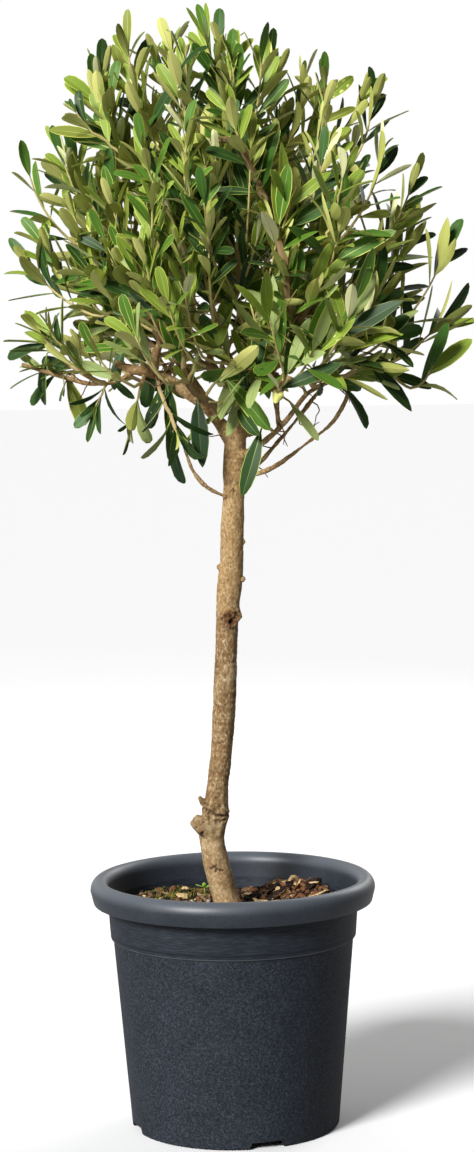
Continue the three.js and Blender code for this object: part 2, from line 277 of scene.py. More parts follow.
def select_only(*pieces):
    """Leaves edit mode and selects just these pieces, the first of them active."""
    if bpy.context.mode != "OBJECT":
        bpy.ops.object.mode_set(mode="OBJECT")
    bpy.ops.object.select_all(action="DESELECT")
    for piece in pieces:
        piece.select_set(True)
    bpy.context.view_layer.objects.active = pieces[0] if pieces else None


def named(name):
    piece = bpy.context.object
    piece.name = name
    piece.data.name = name
    return piece


def settle(piece):
    """Puts the piece's place into its mesh, so that the object sits at the origin."""
    select_only(piece)
    bpy.ops.object.transform_apply(location=True, rotation=True, scale=True)
    return piece


def shade(piece, angle=None):
    """Shades a piece smooth, all over or only where faces meet at less than an angle in degrees."""
    select_only(piece)
    if angle is None:
        bpy.ops.object.shade_smooth()
    else:
        bpy.ops.object.shade_smooth_by_angle(angle=math.radians(angle))


def dress(piece, finish):
    """Gives every face of a piece one finish."""
    piece.data.materials.clear()
    piece.data.materials.append(finish.material)
    piece.data.polygons.foreach_set("material_index", [0] * len(piece.data.polygons))


def arc(centre, wide, high, start, end, steps):
    """Points on an ellipse, from the angle start to the angle end, in degrees."""
    turns = [math.radians(start + (end - start) * i / steps) for i in range(steps + 1)]
    return [(centre[0] + wide * math.cos(t), centre[1] + high * math.sin(t)) for t in turns]


def eased(points, ease):
    """A profile with each inner corner cut back and rounded by one more point."""
    smooth = [points[0]]
    for before, corner, after in zip(points, points[1:], points[2:]):
        corner = Vector(corner)
        back, on = Vector(before) - corner, Vector(after) - corner
        if back.angle(on) > BLUNT_CORNER:
            smooth.append(tuple(corner))
            continue
        start = corner + back.normalized() * min(ease, 0.4 * back.length)
        end = corner + on.normalized() * min(ease, 0.4 * on.length)
        smooth += [tuple(start), tuple((start + end + 2 * corner) / 4), tuple(end)]
    return smooth + [points[-1]]


def turned(name, profile, sides):
    """A closed shell: one vertex drawn along a profile of (radius, height), spun round the Z axis."""
    select_only()
    bpy.ops.mesh.primitive_plane_add(size=mm, location=(profile[0][0], 0, profile[0][1]))
    piece = named(name)
    bpy.ops.object.mode_set(mode="EDIT")
    bpy.ops.mesh.merge(type="CENTER")
    for (r0, z0), (r1, z1) in zip(profile, profile[1:]):
        bpy.ops.mesh.extrude_vertices_move(TRANSFORM_OT_translate={"value": (r1 - r0, 0, z1 - z0)})
    settle(piece)
    bpy.ops.object.mode_set(mode="EDIT")
    bpy.ops.mesh.select_all(action="SELECT")
    bpy.ops.mesh.spin(steps=sides, angle=2 * math.pi, center=(0, 0, 0), axis=(0, 0, 1))
    bpy.ops.mesh.select_all(action="SELECT")
    bpy.ops.mesh.remove_doubles(threshold=WELD)
    bpy.ops.mesh.normals_make_consistent(inside=False)
    select_only(piece)
    return piece


def apply_modifier(piece, kind, **settings):
    select_only(piece)
    modifier = piece.modifiers.new(kind.lower(), kind)
    for name, value in settings.items():
        setattr(modifier, name, value)
    bpy.ops.object.modifier_apply(modifier=modifier.name)


def cut(piece, cutters):
    """Takes all the cutters out of a piece at once, and removes them."""
    select_only(*cutters)
    bpy.ops.object.join()
    tool = settle(bpy.context.object)
    apply_modifier(piece, "BOOLEAN", object=tool, operation="DIFFERENCE", solver="MANIFOLD")
    bpy.data.objects.remove(tool)


underside = [
    (0, 0), (CHANNEL_INNER, 0), (CHANNEL_INNER + CHANNEL_SLOPE, CHANNEL_HEIGHT),
    (CHANNEL_OUTER - CHANNEL_SLOPE, CHANNEL_HEIGHT), (CHANNEL_OUTER, 0),
    (FOOT_RADIUS - FOOT_EASE, 0), (FOOT_RADIUS, FOOT_EASE),
]
ledge = [
    (LEDGE_RADIUS, LEDGE_HEIGHT), (LEDGE_RADIUS + LEDGE_STEP, LEDGE_HEIGHT + mm),
    (under_rim, skirt_edge),
]
hollow = arc((roll_radius, roll_level), ROLL_WIDTH / 2 - WALL, ROLL_HEIGHT - WALL, 180, 0, 12)
skirt = [
    (RIM_RADIUS - SKIRT_DRAFT - WALL, skirt_edge), (RIM_RADIUS - SKIRT_DRAFT, skirt_edge),
]
roll = arc((roll_radius, roll_level), ROLL_WIDTH / 2, ROLL_HEIGHT, 0, 180, 24)
lining = [
    (under_rim - WALL, skirt_edge), (LEDGE_RADIUS + LEDGE_STEP - WALL, LEDGE_HEIGHT),
    (LEDGE_RADIUS - WALL, LEDGE_HEIGHT - WALL),
    (FOOT_RADIUS - WALL, CHANNEL_HEIGHT + WALL), (0, CHANNEL_HEIGHT + WALL),
]
pot = turned(
    "pot_shell", eased(underside + ledge + hollow + skirt + roll + lining, CORNER_EASE), POT_SIDES
)

notch_start = CHANNEL_OUTER - 2 * CHANNEL_SLOPE
notch_length = 1.2 * (FOOT_RADIUS - notch_start)
drain_reach = (CHANNEL_INNER + CHANNEL_OUTER) / 2
cutters = []
for i in range(NOTCH_COUNT):
    select_only()
    bpy.ops.mesh.primitive_cube_add(size=1)
    cutter = named(f"notch_cutter_{i}")
    cutter.data.transform(Matrix.Diagonal((NOTCH_WIDTH, notch_length, CHANNEL_HEIGHT + mm, 1)))
    for vertex in cutter.data.vertices:
        if vertex.co.z > 0:
            vertex.co.x *= 1 - 2 * NOTCH_SLOPE / NOTCH_WIDTH
    cutter.data.transform(
        Matrix.Rotation(NOTCH_TURN + 2 * math.pi * i / NOTCH_COUNT, 4, "Z")
        @ Matrix.Translation((0, -notch_start - notch_length / 2, (CHANNEL_HEIGHT - mm) / 2))
    )
    cutters.append(cutter)
for i in range(DRAIN_COUNT):
    turn = 2 * math.pi * (i + 0.5) / DRAIN_COUNT
    select_only()
    bpy.ops.mesh.primitive_cylinder_add(
        vertices=20, radius=DRAIN_DIAMETER / 2, depth=4 * WALL, location=(
            drain_reach * math.cos(turn), drain_reach * math.sin(turn), CHANNEL_HEIGHT + WALL / 2,
        ),
    )
    cutters.append(named(f"drain_cutter_{i}"))
cut(pot, cutters)
shade(pot, 32)

plastic = Finish("pot_plastic", {
    "IOR": 1.42, "Specular IOR Level": 0.34, "Coat Roughness": 0.52, "Coat IOR": 1.4,
})
height = plastic.axis("Z")
grain = plastic.noise(2.2 * mm, 4, 0.62)
cloud = plastic.noise(28 * mm, 2, 0.5)
fleck = plastic.noise(0.9 * mm, 2, 0.6)
scratch = plastic.noise(14 * mm, 3, 0.7, (1, 1, 42))
smooth_part = height.step(LEDGE_HEIGHT - 2 * mm, LEDGE_HEIGHT)
rim_part = height.step(skirt_edge - 1 * mm, skirt_edge)
# Painted highlight: the top of the rolled rim is mixed towards a lighter grey.
painted_rim_highlight = height.step(roll_level - 2 * mm, POT_HEIGHT)
# Dust and painted highlight: a thin light line along the stacking ledge, broken up by cloud.
ledge_dust_and_highlight = (1 - ((height - LEDGE_HEIGHT - 0.7 * mm) * 900) ** 2).step(0.1, 0.9)
# Painted shade: a dark line 5 mm above the ledge, where no groove is modelled.
painted_groove_shade = (1 - ((height - LEDGE_HEIGHT - 5 * mm) * 700) ** 2).step(0.1, 0.9)
tone = (1 - smooth_part) * (0.55 * grain + 0.45 * fleck) + smooth_part * (0.7 * scratch + 0.14)
tone = tone * (1 - rim_part) + rim_part * (0.455 + 0.12 * grain)
colour = plastic.ramp(
    0.93 * tone + 0.07 * cloud, [(0.4, (21, 25, 32)), (0.5, (36, 41, 49)), (0.61, (62, 68, 77))]
)
for amount, over in (
    (0.6 * painted_groove_shade, (17, 20, 25)), (0.75 * painted_rim_highlight, (90, 96, 104)),
    (ledge_dust_and_highlight * (0.35 + 0.65 * cloud), (112, 116, 121)),
):
    colour = plastic.mix(amount, colour, linear(*over))
plastic.feed("Base Color", colour)
plastic.feed("Roughness", 0.5 + 0.16 * cloud - smooth_part * 0.07 - rim_part * 0.12)
plastic.feed("Coat Weight", 0.75 * rim_part)
plastic.bump((1 - smooth_part) * (0.6 * grain + 0.4 * fleck) + smooth_part * 0.25 * scratch, 0.22 * mm)
dress(pot, plastic)
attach(pot, "root")
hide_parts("pot")


# ---------------------------------------------------------------- root ball
# The growing mix of bark and peat that the tree was potted in. It fills the pot to a hand's breadth
# under the rim, hollow round the trunk and heaped up towards the wall, where watering pushed it.

soil_low, soil_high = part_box("root_ball")
SOIL_RADIUS = soil_high.x
SOIL_TOP = soil_high.z
SOIL_EDGE = SOIL_TOP - 4 * mm
SOIL_RINGS = 56
SOIL_SIDES = 168
SOIL_CLEAR = 0.3 * mm
HEAPS = [  # (x, y, width, height) of each rise or hollow, in mm
    (84, 56, 34, 15), (48, 84, 30, 9), (-62, 66, 40, 10), (-98, 26, 26, 8), (-34, 34, 22, 6),
    (12, 30, 20, -7), (70, -50, 36, 8), (-60, -58, 36, 6), (0, -92, 32, 5),
]
soil_random = np.random.default_rng(11)


def soil_height(x, y):
    """How high the mix lies at a place in the pot."""
    out = min(math.hypot(x, y) / SOIL_RADIUS, 1)
    level = SOIL_TOP - 1.5 * mm + (SOIL_EDGE - SOIL_TOP) * out * out
    for at_x, at_y, width, rise in HEAPS:
        away = (x - at_x * mm) ** 2 + (y - at_y * mm) ** 2
        level += rise * mm * math.exp(-away / (width * mm) ** 2)
    return level + 2.6 * mm * noise.fractal(Vector((x, y, 0)) / (14 * mm), 0.8, 2.1, 4)


soil = turned(
    "soil_body",
    [(0, soil_low.z), (FOOT_RADIUS - WALL - SOIL_CLEAR, soil_low.z)]
    + [(LEDGE_RADIUS - WALL - SOIL_CLEAR, LEDGE_HEIGHT - WALL), (SOIL_RADIUS, LEDGE_HEIGHT)]
    + [(SOIL_RADIUS * (1 - ring / SOIL_RINGS), SOIL_EDGE) for ring in range(SOIL_RINGS + 1)],
    SOIL_SIDES,
)
for vertex in soil.data.vertices:
    if vertex.co.z > LEDGE_HEIGHT + mm:
        vertex.co.z = soil_height(vertex.co.x, vertex.co.y)
soil.data.update()
shade(soil)

earth = Finish("growing_mix", {"Roughness": 0.95, "Specular IOR Level": 0.2})
crumb = earth.noise(3 * mm, 5, 0.7)
damp = earth.noise(30 * mm, 2, 0.5)
earth.feed("Base Color", earth.ramp(
    0.75 * crumb + 0.25 * damp, [(0.34, (14, 10, 6)), (0.5, (38, 27, 17)), (0.66, (92, 70, 46))],
))
earth.bump(crumb, 1.2 * mm)
dress(soil, earth)
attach(soil, "root")
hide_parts("root_ball")


# ---------------------------------------------------------------- bark chips, crumbs and grit
# Loose bits on top of the mix: flat chips of red-brown bark, mostly on the right, dark crumbs and
# fibres everywhere, and a few pale pieces of grit and dry chip.

FOOT_X = -5 * mm
FOOT_CLEAR = 17 * mm
SLOPE_STEP = 2 * mm


def bit_shapes(count, size, seed, rough):
    """Some bits, each a cube subdivided once and knocked out of shape, as corners and faces."""
    shapes = []
    for i in range(count):
        select_only()
        bpy.ops.mesh.primitive_cube_add(size=1)
        piece = bpy.context.object
        bpy.ops.object.mode_set(mode="EDIT")
        bpy.ops.mesh.subdivide(number_cuts=1, smoothness=0.6)
        bpy.ops.transform.vertex_random(offset=rough, uniform=0.6, normal=0, seed=seed + i)
        select_only(piece)
        piece.data.transform(Matrix.Diagonal((*size, 1)))
        corners = np.array([vertex.co for vertex in piece.data.vertices])
        shapes.append((corners, [tuple(polygon.vertices) for polygon in piece.data.polygons]))
        bpy.data.objects.remove(piece)
    return shapes


def from_arrays(name, corners, faces):
    """A new object with these corners and faces, selected."""
    mesh = bpy.data.meshes.new(name)
    mesh.from_pydata(corners.tolist(), [], faces)
    piece = bpy.data.objects.new(name, mesh)
    bpy.context.scene.collection.objects.link(piece)
    select_only(piece)
    return piece


def joined(name, parts, finishes, angle):
    """One piece of many parts, each its corners, its faces, and which of the finishes these have."""
    starts = np.cumsum([0] + [len(corners) for corners, _, _ in parts])
    piece = from_arrays(name, np.concatenate([corners for corners, _, _ in parts]), [
        tuple(corner + start for corner in face)
        for start, (_, faces, _) in zip(starts.tolist(), parts) for face in faces
    ])
    for finish in finishes:
        piece.data.materials.append(finish.material)
    kinds = np.concatenate([kinds for _, _, kinds in parts]).astype(np.int32)
    piece.data.polygons.foreach_set("material_index", kinds)
    shade(piece, angle)
    return piece


def bits_of(count, wanted, sizes, lift, kinds):
    """(x, y, size, lift, finish) of bits, kept where wanted says and clear of the trunk."""
    bits = []
    spread = SOIL_RADIUS * (0.97 - 0.07 * sizes[1])
    while len(bits) < count:
        turn = soil_random.uniform(0, 2 * math.pi)
        reach = spread * math.sqrt(soil_random.uniform(0.03, 1))
        x, y = reach * math.cos(turn), reach * math.sin(turn)
        if math.hypot(x - FOOT_X, y) < FOOT_CLEAR or soil_random.uniform() > wanted(x, y):
            continue
        size = soil_random.uniform(*sizes)
        bits.append((x, y, size, lift * size, int(soil_random.choice(kinds))))
    return bits


def strewn(name, shapes, bits):
    """One piece of bits laid on the mix, each a copy of one of a few shapes."""
    parts = []
    for x, y, size, lift, kind in bits:
        shape, faces = shapes[int(soil_random.integers(len(shapes)))]
        slope = (
            soil_height(x - SLOPE_STEP, y) - soil_height(x + SLOPE_STEP, y),
            soil_height(x, y - SLOPE_STEP) - soil_height(x, y + SLOPE_STEP),
            2 * SLOPE_STEP,
        )
        lean = Vector(slope) + Vector(soil_random.normal(0, 0.35, 3)) * 2 * SLOPE_STEP
        turn = (
            lean.to_track_quat("Z", "Y").to_matrix()
            @ Matrix.Rotation(soil_random.uniform(0, 2 * math.pi), 3, "Z")
            @ Matrix.Rotation(soil_random.normal(0, 0.25), 3, "X")
        )
        at = np.array((x, y, soil_height(x, y) + lift))
        parts.append((shape * size @ np.array(turn).T + at, faces, [kind] * len(faces)))
    return joined(name, parts, bit_finishes, 30)


def grained(name, dark, light, size=2.5 * mm):
    """Dry bark or stone: two tones mixed in streaks."""
    finish = Finish(name, {"Roughness": 0.85, "Specular IOR Level": 0.25})
    streak = finish.noise(size, 4, 0.65, (1, 1, 2.5))
    finish.feed("Base Color", finish.ramp(streak, [(0.35, dark), (0.65, light)]))
    finish.bump(streak, 0.3 * mm)
    return finish


def right_side(x, y):
    return 1 if x > 18 * mm + 0.2 * y else 0.16


def left_side(x, y):
    return 1 if x < -10 * mm else 0.3


bark_shapes = bit_shapes(4, (13 * mm, 8 * mm, 2.4 * mm), 0, 0.24)
stick_shapes = bit_shapes(2, (17 * mm, 2.6 * mm, 2 * mm), 10, 0.2)
crumb_shapes = bit_shapes(3, (4 * mm, 3.4 * mm, 2.8 * mm), 20, 0.3)
RED, BROWN, DARK, PALE, GRIT = range(5)
bit_finishes = [
    grained("bark_chip_red", (46, 26, 15), (148, 98, 62)),
    grained("bark_chip_brown", (36, 24, 15), (140, 106, 74)),
    grained("bark_chip_dark", (14, 9, 6), (48, 33, 22)),
    grained("dry_chip_pale", (150, 120, 78), (226, 200, 150)),
    grained("grit", (128, 124, 116), (205, 200, 190), 1.5 * mm),
]
chips = strewn(
    "soil_chips", bark_shapes + stick_shapes,
    bits_of(430, right_side, (0.3, 0.95), 2.6 * mm, [RED, RED, BROWN, BROWN, DARK, DARK])
    + bits_of(90, right_side, (0.4, 1.1), 4.4 * mm, [PALE])
    + bits_of(70, left_side, (0.3, 0.7), 2.4 * mm, [BROWN, DARK, DARK, PALE]),
)
crumbs = strewn(
    "soil_crumbs", crumb_shapes,
    bits_of(1500, lambda x, y: 1, (0.4, 1.2), 1.4 * mm, [RED, BROWN, BROWN, DARK, DARK, DARK])
    + bits_of(80, left_side, (0.4, 1.1), 1.6 * mm, [GRIT, GRIT, PALE]),
)
for piece in (chips, crumbs):
    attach(piece, "root")


# ---------------------------------------------------------------- moss and seedling
# A yellow-green cushion of moss on the damp left side of the mix, and one seedling weed beside the
# trunk. The moss is short soft blades, and the seedling a pair of round leaves on a thin stalk.

MOSS_PATCHES = [  # (x, y, width) in mm
    (-44, 50, 24), (-66, 36, 20), (-30, 66, 17), (-52, -24, 20), (-80, 62, 15),
]
MOSS_BLADES = 2600
BLADE_RADIUS = 0.7 * mm
BLADE_FACES = [(0, 1, 3), (1, 2, 3), (2, 0, 3), (2, 1, 0)]


def plain(name, colour, roughness=0.5, level=0.5):
    return Finish(name, {
        "Base Color": linear(*colour), "Roughness": roughness, "Specular IOR Level": level,
    })


blades = []
for i in range(MOSS_BLADES):
    patch_x, patch_y, width = MOSS_PATCHES[int(soil_random.integers(len(MOSS_PATCHES)))]
    x, y = soil_random.normal(0, width * mm / 2.2, 2) + (patch_x * mm, patch_y * mm)
    if math.hypot(x, y) > SOIL_RADIUS - 2 * mm or math.hypot(x - FOOT_X, y) < FOOT_CLEAR:
        continue
    foot = np.array((x, y, soil_height(x, y) + 0.6 * mm))
    tall = soil_random.uniform(1.6, 4.2) * mm
    lean = soil_random.normal(0, 0.9 * mm, 2)
    turns = 2 * math.pi * np.arange(3) / 3 + i
    ring = [(BLADE_RADIUS * math.cos(turn), BLADE_RADIUS * math.sin(turn), 0) for turn in turns]
    kind = int(soil_random.integers(3))
    blades.append((foot + np.array(ring + [(*lean, tall)]), BLADE_FACES, [kind] * len(BLADE_FACES)))
moss = joined("soil_moss", blades, [
    plain("moss_dark", (70, 74, 20), 0.8), plain("moss_mid", (104, 104, 30), 0.8),
    plain("moss_light", (142, 136, 48), 0.8),
], 40)
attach(moss, "root")

SEEDLING_AT = (-29 * mm, 45 * mm)
SEEDLING_TALL = 9 * mm
SEED_LEAVES = [(0.2, 0.25, 1.0), (3.3, 0.35, 0.95), (1.7, 0.9, 0.55), (4.9, 0.8, 0.5)]
ground = soil_height(*SEEDLING_AT)
select_only()
bpy.ops.mesh.primitive_cylinder_add(
    vertices=10, radius=0.55 * mm, depth=SEEDLING_TALL + 5 * mm,
    location=(*SEEDLING_AT, ground + SEEDLING_TALL / 2 - 2.5 * mm),
)
seedling_parts = [settle(named("seedling_stalk"))]
for turn, tilt, size in SEED_LEAVES:
    select_only()
    bpy.ops.mesh.primitive_uv_sphere_add(segments=16, ring_count=8, radius=1)
    leaf = named("seedling_leaf")
    leaf.data.transform(
        Matrix.Translation((*SEEDLING_AT, ground + SEEDLING_TALL))
        @ Matrix.Rotation(turn, 4, "Z") @ Matrix.Rotation(-tilt, 4, "Y")
        @ Matrix.Translation((5.3 * mm * size, 0, 0))
        @ Matrix.Diagonal((5.2 * mm * size, 3.4 * mm * size, 0.45 * mm, 1))
    )
    seedling_parts.append(leaf)
select_only(*seedling_parts)
bpy.ops.object.join()
seedling = named("soil_seedling")
shade(seedling)
weed = Finish("seedling_green", {"Roughness": 0.5, "Specular IOR Level": 0.35})
vein = weed.noise(2.5 * mm, 3, 0.6)
weed.feed("Base Color", weed.ramp(vein, [(0.38, (86, 128, 26)), (0.62, (150, 186, 52))]))
dress(seedling, weed)
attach(seedling, "root")


# ---------------------------------------------------------------- trunk and boughs
# One stem of smooth tan bark, 2 cm thick, with a swollen joint where its first branch was pruned off,
# a knot half way up, and boughs that leave it from 65 cm up. All of it is one skin of bark.

MASSES = sorted(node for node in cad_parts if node.startswith("mass_"))
BOUGHS = sorted(set(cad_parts) - {*MASSES, "pot", "root_ball", "trunk"})
SLICE = 7 * mm
LIMB_SIDES = 18
SKIN_GRAIN = 1.05 * mm
TRUNK_EASE = 0.75 * mm
SLICED_POINTS = 9000
LIMB_STEP = 4 * mm
LOW_BOUGH = 765 * mm
THIN_LOW = 0.86
STUBS = [  # (foot, end, foot radius, end radius) of what is left of a pruned branch and of twigs
    ((-22, 0, 297), (-37.5, -3, 308.5), 7.6, 5.4), ((-22, -3, 320), (-32.5, -4, 331), 3.2, 2.5),
    ((-4, -2, 556), (-10.6, -3, 561), 2.8, 2.0), ((8, -3, 545), (16.4, -4, 548), 1.9, 1.3),
    ((9, -2, 580), (16.6, -2, 585), 2.2, 1.7), ((0, 8, 452), (4, 14.6, 456), 2.4, 1.8),
    ((-12, 8, 372), (-15, 14.0, 376), 2.0, 1.5),
]
limb_random = np.random.default_rng(5)


def cad_mesh(node):
    """A CAD node's corners and triangles, with the corners that coincide merged."""
    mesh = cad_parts[node].data
    corners = np.array([vertex.co for vertex in mesh.vertices])
    mesh.calc_loop_triangles()
    triangles = np.array([triangle.vertices for triangle in mesh.loop_triangles])
    keys, merged = np.unique(np.round(corners / (0.01 * mm)), axis=0, return_inverse=True)
    return keys * 0.01 * mm, merged.reshape(-1)[triangles]


def surface_points(node, count):
    """Points spread evenly over a CAD node's surface."""
    corners, triangles = cad_mesh(node)
    a, b, c = (corners[triangles[:, i]] for i in range(3))
    areas = np.linalg.norm(np.cross(b - a, c - a), axis=1)
    chosen = limb_random.choice(len(triangles), count, p=areas / areas.sum())
    u, v = limb_random.random((2, count, 1))
    over = u + v > 1
    u, v = np.where(over, 1 - u, u), np.where(over, 1 - v, v)
    return a[chosen] + u * (b[chosen] - a[chosen]) + v * (c[chosen] - a[chosen])


def tree_of(node):
    """A CAD node's surface, ready to be asked what lies nearest or inside."""
    corners, triangles = cad_mesh(node)
    return BVHTree.FromPolygons(corners.tolist(), triangles.tolist())


trunk_surface = tree_of("trunk")


def unit(vector):
    vector = np.asarray(vector, dtype=float)
    return vector / (np.linalg.norm(vector) + 1e-12)


def limb_line(node):
    """The middle line of a bough and its radius there, sliced outwards from its foot."""
    points = surface_points(node, SLICED_POINTS)
    gaps = np.array([trunk_surface.find_nearest(point)[3] for point in points.tolist()])
    foot = points[gaps < gaps.min() + 2 * mm].mean(0)
    away = np.linalg.norm(points - foot, axis=1)
    slices = max(int(away.max() / SLICE), 3)
    edges = np.linspace(0, away.max() + 0.01 * mm, slices + 1)
    rings = [points[(away >= low) & (away < high)] for low, high in zip(edges, edges[1:])]
    line = np.array([ring.mean(0) for ring in rings])
    radii = []
    for i, ring in enumerate(rings):
        along = unit(line[min(i + 1, slices - 1)] - line[max(i - 1, 0)])
        out = ring - line[i]
        radii.append(np.sqrt((out ** 2).sum(1).mean() - ((out @ along) ** 2).mean()))
    radii = np.array(radii)
    radii[0] = max(radii[0], radii[1])
    radii[-1] = radii[-2]
    return line, radii


def lengths_along(line):
    """How far each point of a line is from its start, measured along it."""
    return np.concatenate([[0], np.cumsum(np.linalg.norm(np.diff(line, axis=0), axis=1))])


def point_at(at, lengths, line):
    return np.stack([np.interp(at, lengths, line[:, i]) for i in range(3)], axis=-1)


def smoothed(line, radii, step):
    """A limb's line and radii drawn again at an even step, with its kinks softened."""
    for _ in range(2):
        for row in (line, radii):
            row[1:-1] = 0.25 * row[:-2] + 0.5 * row[1:-1] + 0.25 * row[2:]
    lengths = lengths_along(line)
    at = np.linspace(0, lengths[-1], max(int(lengths[-1] / step), 3) + 1)
    return point_at(at, lengths, line), np.interp(at, lengths, radii)


def swept(line, radii, sides):
    """A closed round tube along a line, as corners and faces, without twist."""
    along = np.gradient(line, axis=0)
    along /= np.linalg.norm(along, axis=1)[:, None]
    side = np.cross(along[0], (0.3, 0.9, 0.2))
    turns = 2 * math.pi * np.arange(sides) / sides
    corners = []
    for spot, way, radius in zip(line, along, radii):
        side = side - way * (side @ way)
        side /= np.linalg.norm(side)
        ring = np.cos(turns)[:, None] * side + np.sin(turns)[:, None] * np.cross(way, side)
        corners.append(spot + ring * radius)
    last = (len(line) - 1) * sides
    faces = [
        (i + j, i + (j + 1) % sides, i + sides + (j + 1) % sides, i + sides + j)
        for i in range(0, last, sides) for j in range(sides)
    ]
    faces.append(tuple(reversed(range(sides))))
    faces.append(tuple(last + j for j in range(sides)))
    return np.concatenate(corners), faces


stem_corners, stem_faces = cad_mesh("trunk")
stem = from_arrays("bark_skin", stem_corners, stem_faces.tolist())
apply_modifier(stem, "SUBSURF", levels=2, render_levels=2)
apply_modifier(stem, "DISPLACE", strength=TRUNK_EASE, mid_level=0)
limb_lines = {}
limbs = []
for node in BOUGHS:
    line, radii = smoothed(*limb_line(node), LIMB_STEP)
    limb_lines[node] = line
    if line[:, 2].max() < LOW_BOUGH:
        radii = radii * THIN_LOW
    back = unit(line[0] - line[1])
    sunk = 1.7 * radii[0] + 2 * mm
    line = np.concatenate([[line[0] + back * sunk, line[0] + back * 0.5 * sunk], line])
    radii = np.concatenate([[radii[0] * 1.05, radii[0] * 1.22], radii])
    radii[2:5] *= (1.16, 1.08, 1.03)
    limbs.append((line, radii))
for foot, end, foot_radius, end_radius in STUBS:
    foot, end = np.array(foot) * mm, np.array(end) * mm
    line = foot + (end - foot) * np.linspace(0, 1, 6)[:, None]
    limbs.append((line, np.linspace(foot_radius, end_radius, 6) * mm))
skins = [from_arrays("limb", *swept(line, radii, LIMB_SIDES)) for line, radii in limbs]
select_only(stem, *skins)
bpy.ops.object.join()
wood = named("bark_skin")
apply_modifier(wood, "REMESH", mode="VOXEL", voxel_size=SKIN_GRAIN)
apply_modifier(wood, "SMOOTH", factor=0.5, iterations=3)


def skin_of(piece):
    """A piece's corners and the directions that its skin faces there, as arrays."""
    places = np.empty(len(piece.data.vertices) * 3)
    normals = np.empty_like(places)
    piece.data.vertices.foreach_get("co", places)
    piece.data.vertices.foreach_get("normal", normals)
    return places.reshape(-1, 3), normals.reshape(-1, 3)


def reshape_skin(piece, places):
    piece.data.vertices.foreach_set("co", places.reshape(-1))
    piece.data.update()


def sculpt(piece, strokes):
    """Raises or sinks the skin round each (point, width, height, stain and painted shade), most at the
    point itself. Returns how strongly each corner is darkened, as stain and painted shade."""
    places, normals = skin_of(piece)
    start = places.copy()
    stained_and_shaded = np.zeros(len(places))
    for point, width, height, stain in strokes:
        near = np.flatnonzero(np.abs(start[:, 2] - point[2]) < 2.5 * width)
        away = ((start[near] - np.array(point)) ** 2).sum(1)
        share = np.exp(-away / width ** 2)
        places[near] += normals[near] * (height * share)[:, None]
        stained_and_shaded[near] = np.maximum(stained_and_shaded[near], stain * share)
    reshape_skin(piece, places)
    return stained_and_shaded


def relief(piece, shapes):
    """Bark relief: for each (size, stretch, height) a cloud of ridges laid over the skin."""
    places, normals = skin_of(piece)
    rise = np.zeros(len(places))
    for size, stretch, height in shapes:
        spots = places * (np.array((1, 1, stretch)) / size)
        rise += height * np.array([noise.noise(spot) for spot in spots.tolist()])
    reshape_skin(piece, places + normals * rise[:, None])


SWELL = 0.9 * mm
SWELL_START, SWELL_RISE = 470 * mm, 90 * mm
SWELL_END, SWELL_FALL = 720 * mm, 50 * mm
SWELL_REACH = 14 * mm
STEM_AXIS = [(215, -6), (240, -10), (262, -16), (285, -20), (305, -21), (325, -15), (345, -13),
             (400, -7), (450, -4), (500, -2), (550, 2), (600, 5), (650, 7), (690, 10)]
# Lines in the bark, each with a width, depth and darkening that is stain and painted shade: cracked
# rings at the pruned joint, a small star below it, and the faint rings where each year's growth began.
CRACKS = [
    ([(-200, 323), (-150, 318), (-110, 315.5), (-70, 313), (-30, 311.5), (20, 313), (160, 322)],
     1.2, 0.9, 0.95),
    ([(-175, 327), (-130, 322), (-90, 320.5), (-50, 318.5), (-15, 314)], 1.0, 0.5, 0.7),
    ([(-165, 296), (-140, 301), (-110, 309), (-85, 307), (-50, 306), (-20, 308)], 1.1, 0.7, 0.7),
    ([(-135, 332), (-105, 329.5), (-70, 331)], 0.9, 0.4, 0.6),
    ([(-165, 288), (-140, 291), (-122, 297)], 1.4, 0.9, 1.0),
    ([(-130, 259), (-105, 261), (-90, 259), (-65, 257.5)], 0.9, 0.6, 1.5),
    ([(-102, 256), (-96, 261), (-86, 264)], 0.9, 0.5, 1.5),
    ([(-170, 386), (-120, 384), (-80, 386), (-10, 384), (180, 386)], 1.4, 0.25, 0.5),
    ([(-170, 466), (-110, 464), (-60, 466), (0, 465), (180, 466)], 1.6, 0.2, 0.3),
    ([(-170, 422), (-120, 421), (-50, 423), (180, 422)], 1.8, 0.2, 0.32),
    ([(-170, 356), (-120, 354), (-50, 356), (180, 355)], 1.6, 0.2, 0.34),
    ([(-170, 640), (-120, 642), (-50, 641), (180, 640)], 1.6, 0.2, 0.3),
]
KNOT_TURN, KNOT_HEIGHT, KNOT_REACH = -76, 509, 10.5 * mm
KNOT_LIPS = 14
KNOT_PITS = 130
JOINT_HEIGHT = 313
JOINT_PITS = 90
LUMPS = [  # (turn, height, width, rise, stain and painted shade) of the knot's hole and shoulder, and of the joint
    (-66, 506, 2.5, -4.2, 1.6), (-12, 512, 5.5, 3.2, 0), (-20, 313, 6.5, 2.8, 0),
    (-160, 322, 5, 1.6, 0), (-110, 317, 5, 1.2, 0),
]
STUB_ENDS = [((-39, -4, 309.5), 3.4, -1.9, 0.8), ((-32.5, -4, 331), 1.6, 0, 0.6)]
knot_random = np.random.default_rng(8)
skin_tree = BVHTree.FromObject(wood, bpy.context.evaluated_depsgraph_get())


def on_stem(turn, height):
    """The place on the stem's skin at a turn in degrees from +X and a height in mm."""
    axis = np.interp(height, *zip(*STEM_AXIS))
    out = Vector((math.cos(math.radians(turn)), math.sin(math.radians(turn)), 0))
    middle = Vector((axis, 0, height)) * mm
    hit = skin_tree.ray_cast(middle + out * 32 * mm, -out)[0]
    return hit or middle + out * 11 * mm


